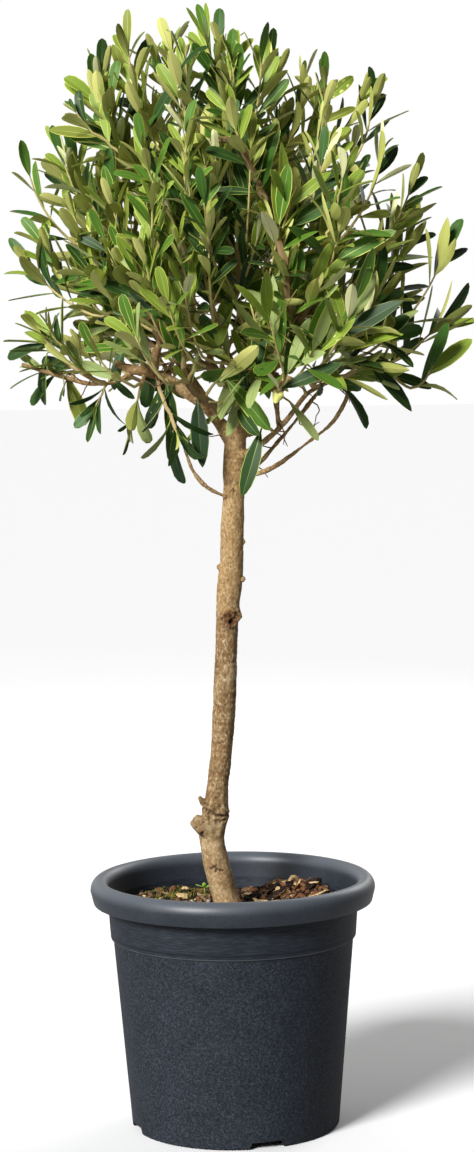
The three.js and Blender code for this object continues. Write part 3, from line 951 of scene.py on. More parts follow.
def crack(corners, width, depth, stain):
    """Strokes close together along a line of (turn, height) corners on the stem. The line wanders,
    and fades and comes back as it goes."""
    turns, heights = zip(*corners)
    steps = int(sum(abs(b - a) * 0.2 for a, b in zip(turns, turns[1:])) / 0.9) + 8
    line = []
    for along in np.linspace(0, len(corners) - 1, steps):
        turn, height = (np.interp(along, range(len(corners)), row) for row in (turns, heights))
        spot = Vector((along * 4.3, heights[0], 0))
        wander = 1.5 * noise.noise(spot) + knot_random.normal(0, 0.25)
        force = min(max(0.75 + 1.3 * noise.noise(spot * 1.7 + Vector((0, 0, 9))), 0.1), 1.2)
        line.append((
            on_stem(turn, height + wander), width * mm * knot_random.uniform(0.75, 1.25),
            -depth * mm * force, stain * force,
        ))
    return line


strokes = [stroke for line in CRACKS for stroke in crack(*line)]
for turn in np.linspace(0, 2 * math.pi, KNOT_LIPS, endpoint=False):
    spot = on_stem(KNOT_TURN + 46 * math.cos(turn), KNOT_HEIGHT + 7.6 * math.sin(turn))
    strokes.append((spot, 2.6 * mm, knot_random.uniform(1.4, 2.8) * mm, 0))
# Sunken pits of the knot and the joint are darkened, partly as stain and partly as painted shade.
for _ in range(KNOT_PITS):
    turn = KNOT_TURN + knot_random.normal(0, 32)
    height = KNOT_HEIGHT + knot_random.normal(0, 4.8)
    rise = knot_random.uniform(-1.3, 0.9) * mm
    strokes.append((on_stem(turn, height), 1.2 * mm, rise, 0.9 if rise < -0.3 * mm else 0))
for _ in range(JOINT_PITS):
    spot = on_stem(knot_random.uniform(-190, 20), knot_random.normal(JOINT_HEIGHT, 7))
    rise = knot_random.uniform(-0.9, 1.3) * mm
    width = knot_random.uniform(1.3, 3.2) * mm
    strokes.append((spot, width, rise, 0.75 if rise < -0.5 * mm else 0))
for turn, height, width, rise, stain in LUMPS:
    strokes.append((on_stem(turn, height), width * mm, rise * mm, stain))
for spot, width, rise, stain in STUB_ENDS:
    strokes.append((Vector(spot) * mm, width * mm, rise * mm, stain))

places, normals = skin_of(wood)
swollen = SWELL * np.clip((places[:, 2] - SWELL_START) / SWELL_RISE, 0, 1)
swollen *= np.clip((SWELL_END - places[:, 2]) / SWELL_FALL, 0, 1)
axis = np.interp(places[:, 2] / mm, *zip(*STEM_AXIS)) * mm
swollen[np.hypot(places[:, 0] - axis, places[:, 1]) > SWELL_REACH] = 0
reshape_skin(wood, places + normals * swollen[:, None])
stained_and_shaded = sculpt(wood, strokes)
relief(wood, [(26 * mm, 0.6, 1.5 * mm), (7 * mm, 0.5, 0.55 * mm), (2.6 * mm, 0.75, 0.32 * mm)])
shade(wood)

places, _ = skin_of(wood)
knot_at = np.array(on_stem(KNOT_TURN, KNOT_HEIGHT))
rust = np.exp(-((places - knot_at) ** 2).sum(1) / KNOT_REACH ** 2)
for name, amounts in (("stain", stained_and_shaded), ("rust", rust)):
    wood.data.attributes.new(name, "FLOAT", "POINT").data.foreach_set("value", amounts)

bark = Finish("olive_bark", {"Roughness": 0.82, "Specular IOR Level": 0.28})
height = bark.axis("Z")
stain = bark.node("ShaderNodeAttribute", {"attribute_name": "stain"}, {}, "Fac")
rust = bark.node("ShaderNodeAttribute", {"attribute_name": "rust"}, {}, "Fac")
broad = bark.noise(38 * mm, 2, 0.5)
mottle = bark.noise(10 * mm, 5, 0.66, (1, 1, 0.7))
ring = bark.noise(9 * mm, 3, 0.6, (0.2, 0.2, 1.5))
speck = bark.noise(2.3 * mm, 3, 0.62, (1, 1, 0.7))
fleck = bark.noise(1.5 * mm, 2, 0.55)
fissure = bark.noise(3.2 * mm, 3, 0.6, (1, 1, 0.22))
upper = height.step(470 * mm, 560 * mm)
lower = 1 - height.step(290 * mm, 330 * mm)
# Painted shade: the bark is darkened inside the crown, from about 735 mm up.
painted_crown_shade = height.step(735 * mm, 800 * mm)
colour = bark.ramp(0.26 * broad + 0.3 * mottle + 0.2 * ring + 0.24 * speck, [
    (0.4, (92, 68, 40)), (0.47, (126, 100, 66)), (0.53, (150, 126, 90)), (0.62, (184, 166, 132)),
])
for amount, over in (
    (0.42 * upper, (190, 156, 104)),
    ((0.5 - 0.2 * lower) * (0.47 - speck).step(0.0, 0.07), (98, 66, 38)),
    ((0.22 + 0.3 * upper) * (fleck - 0.56).step(0.0, 0.06), (150, 104, 56)),
    (0.5 * (speck - 0.58).step(0.0, 0.08), (206, 188, 156)),
    (0.2 * lower, (186, 156, 112)),
    (0.75 * rust.step(0.25, 0.8), (112, 72, 40)),
    # Stain and painted shade: the sunken cracks, pits and knot hole are darkened.
    (0.85 * stain.step(0.12, 0.85), (46, 28, 16)),
    (0.4 * painted_crown_shade, (96, 76, 48)),
):
    colour = bark.mix(amount, colour, linear(*over))
bark.feed("Base Color", colour)
bark.bump(0.4 * fissure + 0.6 * speck, 0.6 * mm)
dress(wood, bark)
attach(wood, "root")
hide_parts("trunk", *BOUGHS)


# ---------------------------------------------------------------- branches
# Thin wood that grows on from the boughs and carries the leafy shoots. Shoots are set out through
# each mass of the crown, and each is joined, nearest first, to the wood that is already there.

HEART = np.array(Vector((16 * mm, 8 * mm, 800 * mm)))
UP = np.array((0.0, 0.0, 1.0))
LEAF_LENGTH = 47 * mm
STEP = 7 * mm
SHOOT_TIP = 0.85 * mm
SHOOT_FOOT = 1.5 * mm
PIPE_POWER = 0.43
SHOOTS_PER_LITRE = 9.0
SHOOT_APART = 30 * mm
PEAK_APART = 9 * mm
CROWN_FOOT = 745 * mm
SHOOT_LENGTHS = (70 * mm, 125 * mm)
SHOOT_LEAST = 15 * mm
TRIES = 4000
FAR = 9.0  # the cost of wood that a shoot may not start from

# How the shoots of a mass grow: how steeply they rise, how far their leaves hang, how large these are
# and how much painted shade darkens their colours, and how full of shoots the mass is.
Habit = namedtuple("Habit", "lift droop size shade full")
USUAL = Habit(1.2, 0.04, 1.0, 0, 1.0)
HABITS = {
    "mass_top": Habit(1.2, 0.04, 0.94, 0, 0.9),
    "mass_high_front": Habit(1.2, 0.04, 0.88, 0, 1.05),
    "mass_high_left": Habit(1.2, 0.04, 0.95, 0, 0.7),
    "mass_left_low": Habit(1.1, 0.08, 0.95, 0.2, 0.7),
    "mass_top_right": Habit(1.2, 0.04, 0.9, 0.6, 1.05),
    "mass_right": Habit(0.95, 0.1, 1.2, 1.0, 0.45),
    "mass_right_low": Habit(0.4, 0.5, 1.35, 1.2, 0.2),
    "mass_right_front": Habit(1.0, 0.15, 1.4, 0.1, 0.5),
    "mass_left_under": Habit(0.3, 0.5, 1.1, 1.6, 0.0),
    "mass_low_left": Habit(0.1, 0.6, 1.12, 1.8, 0.0),
    "mass_low_front": Habit(0.3, 0.4, 1.4, 0.1, 0.0),
    "mass_left_front": Habit(1.2, 0.04, 0.98, -0.2, 0.8),
    "mass_heart": Habit(1.2, 0.1, 1.1, -0.6, 0.5),
    "mass_back": Habit(1.1, 0.1, 1.0, 1, 0.8),
    "mass_back_left": Habit(0.9, 0.2, 1.0, 1, 0.75),
    "mass_back_right": Habit(0.9, 0.2, 1.05, 1, 0.55),
}
# Tips of single leaves that stand out: large ones that hang in front of the fork, and high ones.
SET_TIPS = [
    ("mass_low_front", [(-26, -44, 661), (-8, -54, 706), (42, -60, 698), (4, -50, 690)]),
    ("mass_high_left", [(-127, -34, 1060), (-114, -30, 1074), (-106, -44, 1052)]),
    ("mass_top", [(-2, -30, 1102), (40, -30, 1088)]),
    ("mass_high_left", [(-164, -30, 992), (-149, -36, 990)]),
]
# Shoots that stand out: their mass, foot, tip, how large their leaves are and how much they carry.
STRONG_SHOOTS = [
    ("mass_low_front", (50, -26, 744), (6, -64, 764), 1.15, 2),
    ("mass_low_front", (44, -24, 742), (70, -56, 716), 1.1, 1),
    ("mass_low_front", (-4, -14, 712), (-36, -50, 742), 1.1, 1),
    ("mass_low_front", (20, -20, 740), (34, -66, 792), 1.0, 1),
    ("mass_right_front", (28, -34, 738), (89, -96, 830), 1.35, 8),
    ("mass_right_front", (70, -50, 770), (58, -110, 850), 1.1, 2),
    ("mass_right_low", (84, -40, 742), (128, -64, 752), 1.2, 2),
    ("mass_right_low", (104, -36, 750), (150, -70, 790), 1.15, 2),
    ("mass_low_left", (-66, -18, 744), (-48, -40, 694), 1.1, 1),
    ("mass_low_left", (-80, -16, 748), (-92, -44, 706), 1.0, 1),
    ("mass_left_under", (-112, -12, 750), (-126, -34, 722), 0.95, 1),
    ("mass_left_under", (-150, -8, 752), (-184, -24, 758), 0.9, 1),
    ("mass_left_low", (-132, -8, 750), (-168, -34, 792), 1.0, 1),
    ("mass_low_front", (22, -16, 728), (-16, -56, 724), 1.25, 1),
    ("mass_high_front", (34, -90, 930), (4, -124, 1002), 1.0, 3),
    ("mass_top", (-30, -40, 985), (-46, -60, 1046), 1.0, 3),
    ("mass_high_left", (-84, -50, 950), (-138, -66, 1000), 1.0, 3),
    ("mass_right_front", (96, -84, 870), (112, -120, 930), 1.0, 3),
]
crown_random = np.random.default_rng(29)
peaks_used = []


def inside(tree, point):
    """Whether a point lies inside a closed surface, told by the side of the nearest face."""
    near, normal, _, _ = tree.find_nearest(point)
    return (Vector(point) - near).dot(normal) < 0


def tips_in(node):
    """Where the shoots of a mass end: at its peaks, which are the corners that stand out further
    than all their neighbours, and then spread through its outer part."""
    corners, triangles = cad_mesh(node)
    reach = np.linalg.norm(corners - corners.mean(0), axis=1)
    highest = np.zeros(len(corners))
    for i, j in ((0, 1), (1, 2), (2, 0)):
        np.maximum.at(highest, triangles[:, i], reach[triangles[:, j]])
        np.maximum.at(highest, triangles[:, j], reach[triangles[:, i]])
    tips = []
    for peak in corners[reach > highest]:
        if all(np.linalg.norm(peak - tip) > PEAK_APART for tip in peaks_used):
            tips.append((peak, True))
            peaks_used.append(peak)
    a, b, c = (corners[triangles[:, i]] for i in range(3))
    litres = abs(np.einsum("ij,ij->i", a, np.cross(b, c)).sum()) / 6 * 1000
    wanted = len(tips) + int(litres * SHOOTS_PER_LITRE * HABITS.get(node, USUAL).full)
    tree = tree_of(node)
    low, high = (np.array(corner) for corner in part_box(node))
    for _ in range(TRIES):
        if len(tips) >= wanted:
            break
        spot = crown_random.uniform(low, high)
        out = np.linalg.norm((spot - (low + high) / 2) / (high - low)) * 2
        if crown_random.uniform() > 0.25 + 0.75 * out or not inside(tree, spot.tolist()):
            continue
        if all(np.linalg.norm(spot - tip) > SHOOT_APART for tip, _ in tips):
            tips.append((spot, False))
    return tips


class Shoot:
    """A leafy shoot: its line from foot to tip, and how the leaves of its mass are held."""

    def __init__(self, node, tip, at_peak):
        self.node = node
        self.habit = HABITS.get(node, USUAL)
        self.tip = np.array(tip)
        self.bulk = 1
        self.bare = 0.05
        self.out = unit(self.tip - HEART)
        self.hangs = at_peak and self.out[2] < -0.05
        self.pointer = self.tip if at_peak else None
        steep = self.habit.lift * (0.75 + 0.4 * max(self.out[2], 0))
        self.heading = unit(0.65 * self.out + steep * UP + crown_random.normal(0, 0.17, 3))
        self.start = unit(0.9 * self.heading + 0.45 * unit(self.out * (1, 1, 0)) - 0.25 * UP)
        end = self.tip
        if at_peak:
            end = tip - self.heading * LEAF_LENGTH * self.habit.size * 0.9
        rise = max(self.heading[2] + self.start[2], 0.4) / 2
        length = crown_random.uniform(*SHOOT_LENGTHS)
        length = min(length, max(end[2] - CROWN_FOOT, SHOOT_LEAST) / rise)
        steps = max(int(length / STEP), 4)
        line = [end]
        for share in np.linspace(1, 0, steps):
            way = unit(self.heading * share + self.start * (1 - share))
            line.append(line[-1] - way * length / steps)
        self.line = np.array(line[::-1])


class Wood:
    """Everything woody so far, as points that a new branch may start from."""

    def __init__(self):
        self.places = np.empty((0, 3))
        self.headings = np.empty((0, 3))
        self.free = np.empty(0, dtype=bool)
        self.parents = []
        self.chains = []

    def grow(self, line, parent, free=True):
        """Adds a line of points that starts at a parent point, and returns their numbers."""
        numbers = list(range(len(self.places), len(self.places) + len(line)))
        headings = np.gradient(line, axis=0)
        headings /= np.linalg.norm(headings, axis=1)[:, None]
        self.places = np.concatenate([self.places, line])
        self.headings = np.concatenate([self.headings, headings])
        self.free = np.concatenate([self.free, np.full(len(line), free)])
        self.parents += [parent] + numbers[:-1]
        self.chains.append(numbers if parent < 0 else [parent] + numbers)
        return numbers

    def cost(self, shoot, first=0):
        """How far each point is from a shoot's foot, and more where the branch would bend hard."""
        way = shoot.line[0] - self.places[first:]
        far = np.linalg.norm(way, axis=1) + 1e-9
        from_wood = np.einsum("ij,ij->i", way, self.headings[first:]) / far
        to_shoot = way @ shoot.start / far
        cost = far * (1 + 0.8 * (1 - from_wood) + 0.8 * (1 - to_shoot))
        cost[(far < 8 * mm) | ~self.free[first:]] = FAR
        return cost


wood_points = Wood()
for node in BOUGHS:
    wood_points.grow(limb_lines[node], -1)
foot_gaps = [
    trunk_surface.find_nearest(wood_points.places[chain[0]].tolist())[3]
    for chain in wood_points.chains
]
grown = []
for bough in np.argsort(foot_gaps):
    chain = wood_points.chains[bough]
    if grown and foot_gaps[bough] > 12 * mm:
        gaps = np.linalg.norm(wood_points.places[grown] - wood_points.places[chain[0]], axis=1)
        wood_points.parents[chain[0]] = grown[int(gaps.argmin())]
    grown += chain

shoots = [Shoot(node, tip, at_peak) for node in MASSES for tip, at_peak in tips_in(node)]
shoots += [Shoot(node, np.array(tip) * mm, True) for node, tips in SET_TIPS for tip in tips]


def branch_line(start, start_way, end, end_way):
    """A smooth branch from the wood to a shoot's foot, with a slight wander at its buds."""
    far = np.linalg.norm(end - start)
    steps = max(int(far / STEP), 2)
    points = []
    for share in np.linspace(0, 1, steps + 1)[1:-1]:
        s2, s3 = share * share, share ** 3
        points.append(
            (2 * s3 - 3 * s2 + 1) * start + (s3 - 2 * s2 + share) * far * start_way
            + (3 * s2 - 2 * s3) * end + (s3 - s2) * far * end_way
            + crown_random.normal(0, 0.9 * mm, 3)
        )
    return points


def start_at(shoot, foot, barred=False):
    """Grows a shoot on a branch of its own from the wood nearest a place, and returns its points."""
    gaps = np.linalg.norm(wood_points.places - foot, axis=1)
    root = int(np.where(barred, FAR, gaps).argmin())
    start = wood_points.places[root]
    leave = unit(unit(shoot.line[0] - start) + 0.35 * wood_points.headings[root] + 0.2 * UP)
    line = np.array(branch_line(start, leave, shoot.line[0], shoot.start) + list(shoot.line))
    return wood_points.grow(line, root)


shoot_numbers = {}
for node, foot, tip, size, bulk in STRONG_SHOOTS:
    foot, tip = np.array(foot) * mm, np.array(tip) * mm
    shoot = Shoot(node, tip, False)
    shoot.habit = shoot.habit._replace(size=size)
    shoot.start = unit(tip - foot)
    shoot.heading = unit(shoot.start + 0.25 * UP)
    shoot.line = np.array([foot] + branch_line(foot, shoot.start, tip, shoot.heading) + [tip])
    shoot.bulk = bulk
    shoot.bare = 0.1 if bulk < 4 else 0.5
    shoot_numbers[len(shoots)] = start_at(shoot, foot)
    shoots.append(shoot)

waiting = [n for n in range(len(shoots)) if not shoots[n].hangs and n not in shoot_numbers]
best = {}
for number in waiting:
    cost = wood_points.cost(shoots[number])
    best[number] = (cost.min(), int(cost.argmin()))
while waiting:
    number = min(waiting, key=lambda n: best[n][0])
    waiting.remove(number)
    shoot = shoots[number]
    root = best[number][1]
    start = wood_points.places[root]
    leave = unit(0.55 * wood_points.headings[root] + 0.6 * unit(shoot.line[0] - start))
    link = branch_line(start, leave, shoot.line[0], shoot.start)
    line = np.array(link + list(shoot.line))
    known = len(wood_points.places)
    free = np.arange(len(line)) < len(link) + 0.55 * len(shoot.line)
    shoot_numbers[number] = wood_points.grow(line, root, free)[len(link):]
    for other in waiting:
        cost = wood_points.cost(shoots[other], known)
        if cost.min() < best[other][0]:
            best[other] = (cost.min(), known + int(cost.argmin()))

for number, shoot in enumerate(shoots):
    if not shoot.hangs:
        continue
    long = LEAF_LENGTH * shoot.habit.size * 1.05
    way = wood_points.places - shoot.tip
    far = np.linalg.norm(way, axis=1)
    steepest = 0.35 if shoot.out[2] < -0.35 else -0.3
    barred = (way[:, 2] < steepest * far) | (far < long + 4 * mm)
    root = int(np.where(barred, FAR, far).argmin())
    shoot.heading = unit(-unit(way[root]) - (0.1 - 0.6 * shoot.out[2]) * UP)
    end = shoot.tip - shoot.heading * long
    shoot.start = unit(end - wood_points.places[root] + 0.01 * shoot.heading)
    shoot.line = np.array([end - 1 * mm * shoot.start, end])
    shoot_numbers[number] = start_at(shoot, wood_points.places[root], barred)

loads = np.zeros(len(wood_points.places))
for number, numbers in shoot_numbers.items():
    point = numbers[-1]
    while point >= 0:
        loads[point] += shoots[number].bulk
        point = wood_points.parents[point]
thickness = SHOOT_FOOT * np.maximum(loads, 1) ** PIPE_POWER
for number, numbers in shoot_numbers.items():
    foot_radius = SHOOT_FOOT * shoots[number].bulk ** PIPE_POWER
    for i, point in enumerate(numbers):
        if loads[point] <= shoots[number].bulk:
            share = i / (len(numbers) - 1)
            thickness[point] = foot_radius * (1 - share) + SHOOT_TIP * share

BRANCH_SIDES = 7
YOUNG_RADIUS = 2.0 * mm
OLD_RADIUS = 3.0 * mm
DEAD_TWIGS = 70
TWIGS_BELOW = 860 * mm
YOUNG, TAN, OLD, DEAD = range(4)
branch_finishes = [
    plain("young_wood", (198, 182, 120), 0.6, 0.35), plain("tan_wood", (184, 160, 112), 0.7, 0.3),
    plain("old_wood", (132, 108, 74), 0.75, 0.3), plain("dead_wood", (112, 86, 58), 0.8, 0.2),
]
tubes = []
for chain in wood_points.chains[len(BOUGHS):]:
    radii = thickness[chain].copy()
    radii[0] = radii[1] * 1.05
    radii[1] *= 1.2
    ages = np.where(radii < YOUNG_RADIUS, YOUNG, np.where(radii < OLD_RADIUS, TAN, OLD))
    tubes.append((wood_points.places[chain], radii, ages))
old = np.flatnonzero((wood_points.places[:, 2] < TWIGS_BELOW) & (loads > 1.5))
for point in crown_random.choice(old, DEAD_TWIGS):
    place = wood_points.places[point]
    way = unit(unit(place - HEART) * 0.5 + crown_random.normal(0, 0.7, 3))
    twig = [place]
    for _ in range(crown_random.integers(3, 8)):
        way = unit(way + crown_random.normal(0, 0.32, 3))
        twig.append(twig[-1] + way * crown_random.uniform(4, 8) * mm)
    radii = np.linspace(0.75 * mm, 0.4 * mm, len(twig))
    tubes.append((np.array(twig), radii, np.full(len(twig), DEAD)))
parts = []
for line, radii, ages in tubes:
    corners, faces = swept(line, radii, BRANCH_SIDES)
    kinds = [ages[min(face[0] // BRANCH_SIDES, len(ages) - 1)] for face in faces]
    parts.append((corners, faces, kinds))
branches = joined("branches", parts, branch_finishes, 50)
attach(branches, "root")


# ---------------------------------------------------------------- leaves
# Leathery olive leaves in opposite pairs, each pair turned a quarter from the one below. They are deep
# glossy green above, with a pale midrib and a thin yellow margin of painted highlight, and pale khaki
# underneath.

LEAF_STATIONS = np.array([0, 0.07, 0.22, 0.42, 0.64, 0.84, 0.95, 1.0])
BLUNT_OUTLINE = np.array([0.09, 0.11, 0.42, 0.78, 1.0, 0.94, 0.64, 0.12])
LANCE_OUTLINE = np.array([0.09, 0.14, 0.68, 1.0, 0.95, 0.6, 0.25, 0.03])
LEAF_THICK = 0.42 * mm
LEAF_RIB = 0.5 * mm
MARGIN_START = 0.91
UPPER = [
    (40, 68, 24), (56, 94, 30), (80, 120, 38), (130, 154, 54), (128, 138, 56), (36, 60, 32),
    (220, 168, 44), (128, 66, 34), (150, 166, 102),
]
DEEP, GREEN, BRIGHT, FRESH, OLIVE, DARKEST, YELLOWED, BROWNED, GREY_AND_SHEEN = range(len(UPPER))
UNDER = [
    (144, 150, 74), (176, 180, 92), (214, 214, 126), (116, 122, 56), (236, 236, 180),
    (210, 172, 74), (116, 72, 44),
]
# Under colour 3 is a darker copy of the underside as painted shade, and colour 4 a paler one as
# painted highlight.
KHAKI, CREAM, PAINTED_SHADE_UNDER, PAINTED_HIGHLIGHT_UNDER, TAWNY, RUSTY = 0, 2, 3, 4, 5, 6
# Painted highlight: the thin margin strip of each leaf is a lighter, yellower green than the blade.
MARGIN_HIGHLIGHTS = [(92, 112, 42), (150, 164, 60), (208, 208, 92)]
RIBS = [(78, 104, 42), (118, 138, 58), (172, 180, 96)]
RIM_OF_UPPER = [0, 0, 1, 2, 2, 0, 2, 0, 1]
leaf_finishes = (
    [plain(f"leaf_upper_{i}", colour, 0.5, 0.26) for i, colour in enumerate(UPPER)]
    + [plain(f"leaf_under_{i}", colour, 0.6, 0.3) for i, colour in enumerate(UNDER)]
    + [plain(f"leaf_margin_highlight_{i}", colour) for i, colour in enumerate(MARGIN_HIGHLIGHTS)]
    + [plain(f"leaf_midrib_{i}", colour) for i, colour in enumerate(RIBS)]
    + [plain("leaf_under_rib", (176, 172, 104), 0.6)]
)
FIRST_UNDER = len(UPPER)
FIRST_MARGIN_HIGHLIGHT = FIRST_UNDER + len(UNDER)
FIRST_RIB = FIRST_MARGIN_HIGHLIGHT + len(MARGIN_HIGHLIGHTS)
UNDER_RIB = FIRST_RIB + len(RIBS)
STRIPS = 8  # round a leaf: margin, blade, midrib, blade, margin, under, under rib, under


def leaf_mesh(name, leaves):
    """One piece of many leaves. Each leaf is a row of the numbers and directions it is bent by."""
    count, last = len(leaves), (len(LEAF_STATIONS) - 1) * STRIPS
    row = {key: np.array([leaf[key] for leaf in leaves]) for key in leaves[0]}
    long, wide, curl, twist, fold, sway, lance = (
        row[key][:, None] for key in ("long", "wide", "curl", "twist", "fold", "sway", "lance")
    )
    foot, way, face = (row[key][:, None] for key in ("foot", "way", "face"))
    side = np.cross(way, face)
    t = LEAF_STATIONS[None, :]
    bend = np.where(np.abs(curl) < 1e-3, 1e-3, curl)
    ahead = long * np.sin(bend * t) / bend
    down = long * (1 - np.cos(bend * t)) / bend
    middle = (
        foot + ahead[..., None] * way - down[..., None] * face
        + (sway * long * t * t)[..., None] * side
    )
    out = np.sin(bend * t)[..., None] * way + np.cos(bend * t)[..., None] * face
    turn = (twist * t)[..., None]
    across = np.cos(turn) * side + np.sin(turn) * out
    out = np.cos(turn) * out - np.sin(turn) * side
    half = wide / 2 * (lance * LANCE_OUTLINE + (1 - lance) * BLUNT_OUTLINE)
    rib = np.minimum(LEAF_RIB * (1.15 - t) + 0 * half, 0.6 * half)
    thick = np.minimum(LEAF_THICK, 0.8 * half + 0.1 * mm)
    lift = np.tan(fold)
    edge = half * lift - 0.2 * thick
    blade = MARGIN_START * half
    ring = [
        (-half, edge), (-blade, blade * lift + 0.1 * thick), (-rib, 0 * half), (rib, 0 * half),
        (blade, blade * lift + 0.1 * thick), (half, edge),
        (0.9 * rib, -1.5 * thick), (-0.9 * rib, -1.5 * thick),
    ]
    rings = [middle + x[..., None] * across + y[..., None] * out for x, y in ring]
    corners = np.stack(rings, axis=2)  # leaf, station, place round the leaf
    starts = np.arange(count)[:, None] * (last + STRIPS)
    quads = np.array([
        (i + j, i + STRIPS + j, i + STRIPS + (j + 1) % STRIPS, i + (j + 1) % STRIPS)
        for i in range(0, last, STRIPS) for j in range(STRIPS)
    ])
    quads = (quads[None] + starts[:, None]).reshape(-1, 4)
    caps = np.concatenate([starts + np.arange(STRIPS), starts + last + np.arange(STRIPS)[::-1]])
    margin_highlight, upper, under = FIRST_MARGIN_HIGHLIGHT + row["rim"], row["upper"], FIRST_UNDER + row["under"]
    looks = np.stack([
        margin_highlight, upper, FIRST_RIB + row["rim"], upper, margin_highlight, under, np.full(count, UNDER_RIB), under,
    ], axis=1)
    kinds = np.tile(looks, len(LEAF_STATIONS) - 1).reshape(-1)
    kinds = np.concatenate([kinds, np.full(2 * count, FIRST_MARGIN_HIGHLIGHT + 1)])
    parts = [(corners.reshape(-1, 3), quads.tolist() + caps.tolist(), kinds)]
    return joined(name, parts, leaf_finishes, 42)


PAIR_SPACING = (12 * mm, 18 * mm)
OPEN_AT_FOOT = 48
OPEN_LOST = 24
BOX_EASE = 5 * mm
BOX_LOW = np.array(cad_box[0]) - BOX_EASE
BOX_HIGH = np.array(cad_box[1]) + BOX_EASE
FRONT_HALF = 30 * mm
GREY_BELOW = 870 * mm
GREY_FADE = 120 * mm
TURNED_OVER = 0.26
DARK_SHARE = 0.12
DARK_IN_SHADE = 0.25
OLIVE_SHARE = 0.07
GREY_AND_SHEEN_SHARE = 0.15
PAINTED_LIGHT_UNDER_SHARE = 0.12
AGED_SHARE = 0.004
LIT_TURNED_OVER = 0.24  # what the masses painted as lit, though the crown shades them, have more of
PAINTED_LIGHT_TONE = 1.6
PAINTED_LIGHT_FRESH_SHARE = 0.25
PAINTED_LIGHT_SHEEN_SHARE = 0.3
PAINTED_LIGHT_MASSES = ("mass_low_front", "mass_right_front", "mass_left_front", "mass_heart")
CLEARINGS = [  # (x, z, half width, half height, how far back) of each gap in mm, and leaves kept
    (-14, 790, 26, 40, 1000, 0.4), (-64, 790, 14, 24, 1000, 0.3), (66, 690, 44, 40, 1000, 0.3),
    (30, 850, 20, 28, 1000, 0.5), (-66, 746, 34, 24, -10, 0.1), (-32, 726, 30, 24, -10, 0.05),
    (208, 838, 24, 20, 1000, 0.25), (200, 772, 26, 18, 1000, 0.3), (126, 822, 10, 20, 1000, 0.45),
    (-104, 800, 12, 18, 1000, 0.4), (-154, 1020, 18, 16, 1000, 0.2),
    (-196, 934, 24, 22, 1000, 0.15),
]
leaves_of = {node: [] for node in MASSES}


def left_out(spot):
    """Whether a leaf with its middle at a spot is one of those that a clearing goes without."""
    return any(
        abs(spot[0] - x * mm) < wide * mm and abs(spot[2] - z * mm) < high * mm
        and spot[1] < depth * mm and crown_random.uniform() > kept
        for x, z, wide, high, depth, kept in CLEARINGS
    )


def add_leaf(node, foot, way, face, long, habit, tone, fresh, at_peak=False):
    """Notes one leaf, with its own small differences in how it is held, shaped and coloured."""
    way = unit(way)
    end = foot + way * long
    if not at_peak and left_out((foot + end) / 2):
        return
    if (end < BOX_LOW).any() or (end > BOX_HIGH).any():
        return
    painted_lit = node in PAINTED_LIGHT_MASSES
    low = float(np.clip((GREY_BELOW - foot[2]) / GREY_FADE, 0, 1))
    slim = 2 * max(habit.size - 1.1, 0)
    outward = unit((foot[0] - HEART[0], foot[1] - HEART[1], 0))
    if at_peak or (abs(outward[0]) > 0.8 and crown_random.uniform() < 0.4):
        outward = unit((0.4 * outward[0], -1 if foot[1] < FRONT_HALF else 1, 0))
    over = TURNED_OVER + LIT_TURNED_OVER * painted_lit
    shown = 2.0 if at_peak else crown_random.choice([-0.35, 0.95], p=[over, 1 - over])
    face = face + shown * outward
    face = unit(face - way * (face @ way))

    # Painted light: the listed masses in the crown's shade get brighter, fresher tones and more
    # painted sheen.
    tone += PAINTED_LIGHT_TONE * painted_lit
    # Painted shade: the mass's shade value makes its upper and under colours darker, and dark greens
    # commoner.
    shift = crown_random.normal(0, 0.85) - 0.5 * habit.shade
    upper = int(np.clip(round(tone + shift), DEEP, BRIGHT))
    if fresh > 0.5 and habit.shade < 1.5:
        upper = FRESH
    if crown_random.uniform() < DARK_SHARE + DARK_IN_SHADE * habit.shade:
        upper = int(crown_random.choice([DEEP, DEEP, GREEN, DARKEST]))
    elif crown_random.uniform() < OLIVE_SHARE:
        upper = OLIVE
    if painted_lit and crown_random.uniform() < PAINTED_LIGHT_FRESH_SHARE:
        upper = FRESH
    # Grey-green of older, lower leaves, lightened as a painted sheen.
    if crown_random.uniform() < (GREY_AND_SHEEN_SHARE + PAINTED_LIGHT_SHEEN_SHARE * painted_lit) * low:
        upper = GREY_AND_SHEEN
    if at_peak and foot[2] < CROWN_FOOT:
        upper = int(crown_random.choice([DEEP, DEEP, DARKEST, GREEN]))
    under = int(np.clip(round(2 - habit.shade + crown_random.normal(0, 0.7)), KHAKI, CREAM))
    # Painted shade and painted highlight: shaded masses get the darker underside, the others the
    # whitish one.
    if crown_random.uniform() < PAINTED_LIGHT_UNDER_SHARE + 0.06 * low and not at_peak:
        under = PAINTED_SHADE_UNDER if crown_random.uniform() < 0.8 * habit.shade else PAINTED_HIGHLIGHT_UNDER
    if crown_random.uniform() < AGED_SHARE and not at_peak and long < LEAF_LENGTH and low > 0:
        upper, under = YELLOWED, TAWNY
        if crown_random.uniform() >= 0.5:
            upper, under = BROWNED, RUSTY
    rim = RIM_OF_UPPER[upper] + int(crown_random.uniform() < 0.3)
    leaves_of[node].append({
        "foot": foot, "way": way, "face": face, "long": long,
        "wide": long * crown_random.uniform(0.25 if at_peak else 0.2, 0.3) * (1 - 0.2 * slim),
        "curl": crown_random.normal(0.12 + 0.4 * habit.droop, 0.28),
        "twist": crown_random.normal(0, 0.3), "fold": crown_random.uniform(0.08, 0.34),
        "sway": crown_random.normal(0, 0.05),
        "lance": float(np.clip(crown_random.normal(0.15 + 1.2 * slim, 0.3), 0, 1)),
        "upper": upper, "under": under, "rim": min(rim, len(MARGIN_HIGHLIGHTS) - 1),
    })


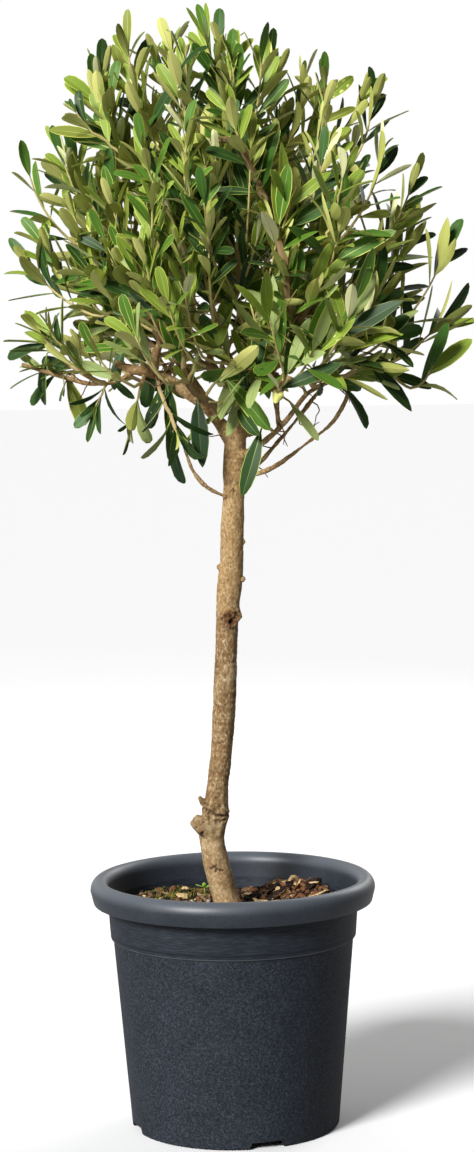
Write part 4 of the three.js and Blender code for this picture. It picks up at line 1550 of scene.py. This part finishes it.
def leafy(shoot, numbers):
    """Hangs the leaf pairs on a shoot, from its foot to the small ones round its bud."""
    habit = shoot.habit
    line = wood_points.places[numbers]
    lengths = lengths_along(line)
    whole = lengths[-1]
    tone = crown_random.uniform(-0.4, 2.4)
    turn = crown_random.uniform(0, math.pi)
    side = unit(np.cross(shoot.heading, (0.3, 0.2, 0.9)))
    other = np.cross(shoot.heading, side)
    at = (shoot.bare + crown_random.uniform(0, 0.15)) * whole
    while at < whole:
        share = at / whole
        spot = point_at(at, lengths, line)
        along = shoot.heading
        if at + 2 * mm < whole:
            along = unit(point_at(at + 2 * mm, lengths, line) - spot)
        for way in (0, math.pi):
            if crown_random.uniform() < 0.1 + 0.25 * (1 - share) ** 2:
                continue
            aside = unit(math.cos(turn + way) * side + math.sin(turn + way) * other)
            aside = unit(aside - along * (aside @ along))
            opened = math.radians(OPEN_AT_FOOT - OPEN_LOST * share) + crown_random.normal(0, 0.17)
            leaf_way = math.cos(opened) * along + math.sin(opened) * aside
            leaf_way = leaf_way - habit.droop * 0.75 * UP
            face = math.sin(opened) * along - math.cos(opened) * aside
            face = face + (0.1 + 0.4 * habit.droop) * UP
            size = 0.82 + 0.5 * share - 0.72 * max(share - 0.6, 0) / 0.4 * 0.75
            long = LEAF_LENGTH * habit.size * size * crown_random.uniform(0.85, 1.12)
            fresh = share - 0.45 * crown_random.uniform()
            add_leaf(shoot.node, spot, leaf_way, face, long, habit, tone, fresh)
        turn += math.pi / 2 + crown_random.normal(0, 0.15)
        at += crown_random.uniform(*PAIR_SPACING) * (1 - 0.35 * share) * min(habit.size, 1)
    end = line[-1]
    if shoot.pointer is not None:
        way = shoot.pointer - end
        aside = unit(np.cross(way, UP) + 1e-6)
        face = np.cross(aside, unit(way)) * (1 if way[2] < 0 else crown_random.choice([-1, 1]))
        add_leaf(shoot.node, end, way, face, np.linalg.norm(way), habit, tone, 0.2, True)
        return
    for i in range(2):
        aside = math.cos(turn + math.pi * i) * side + math.sin(turn + math.pi * i) * other
        way = shoot.heading + 0.28 * aside
        face = shoot.heading - 3 * aside
        long = LEAF_LENGTH * crown_random.uniform(0.32, 0.55)
        add_leaf(shoot.node, end, way, face, long, habit, tone, 1.0)


for number, shoot in enumerate(shoots):
    leafy(shoot, shoot_numbers[number])
for node in MASSES:
    piece = leaf_mesh(node.replace("mass", "leaves"), leaves_of[node])
    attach(piece, "root")
    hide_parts(node)
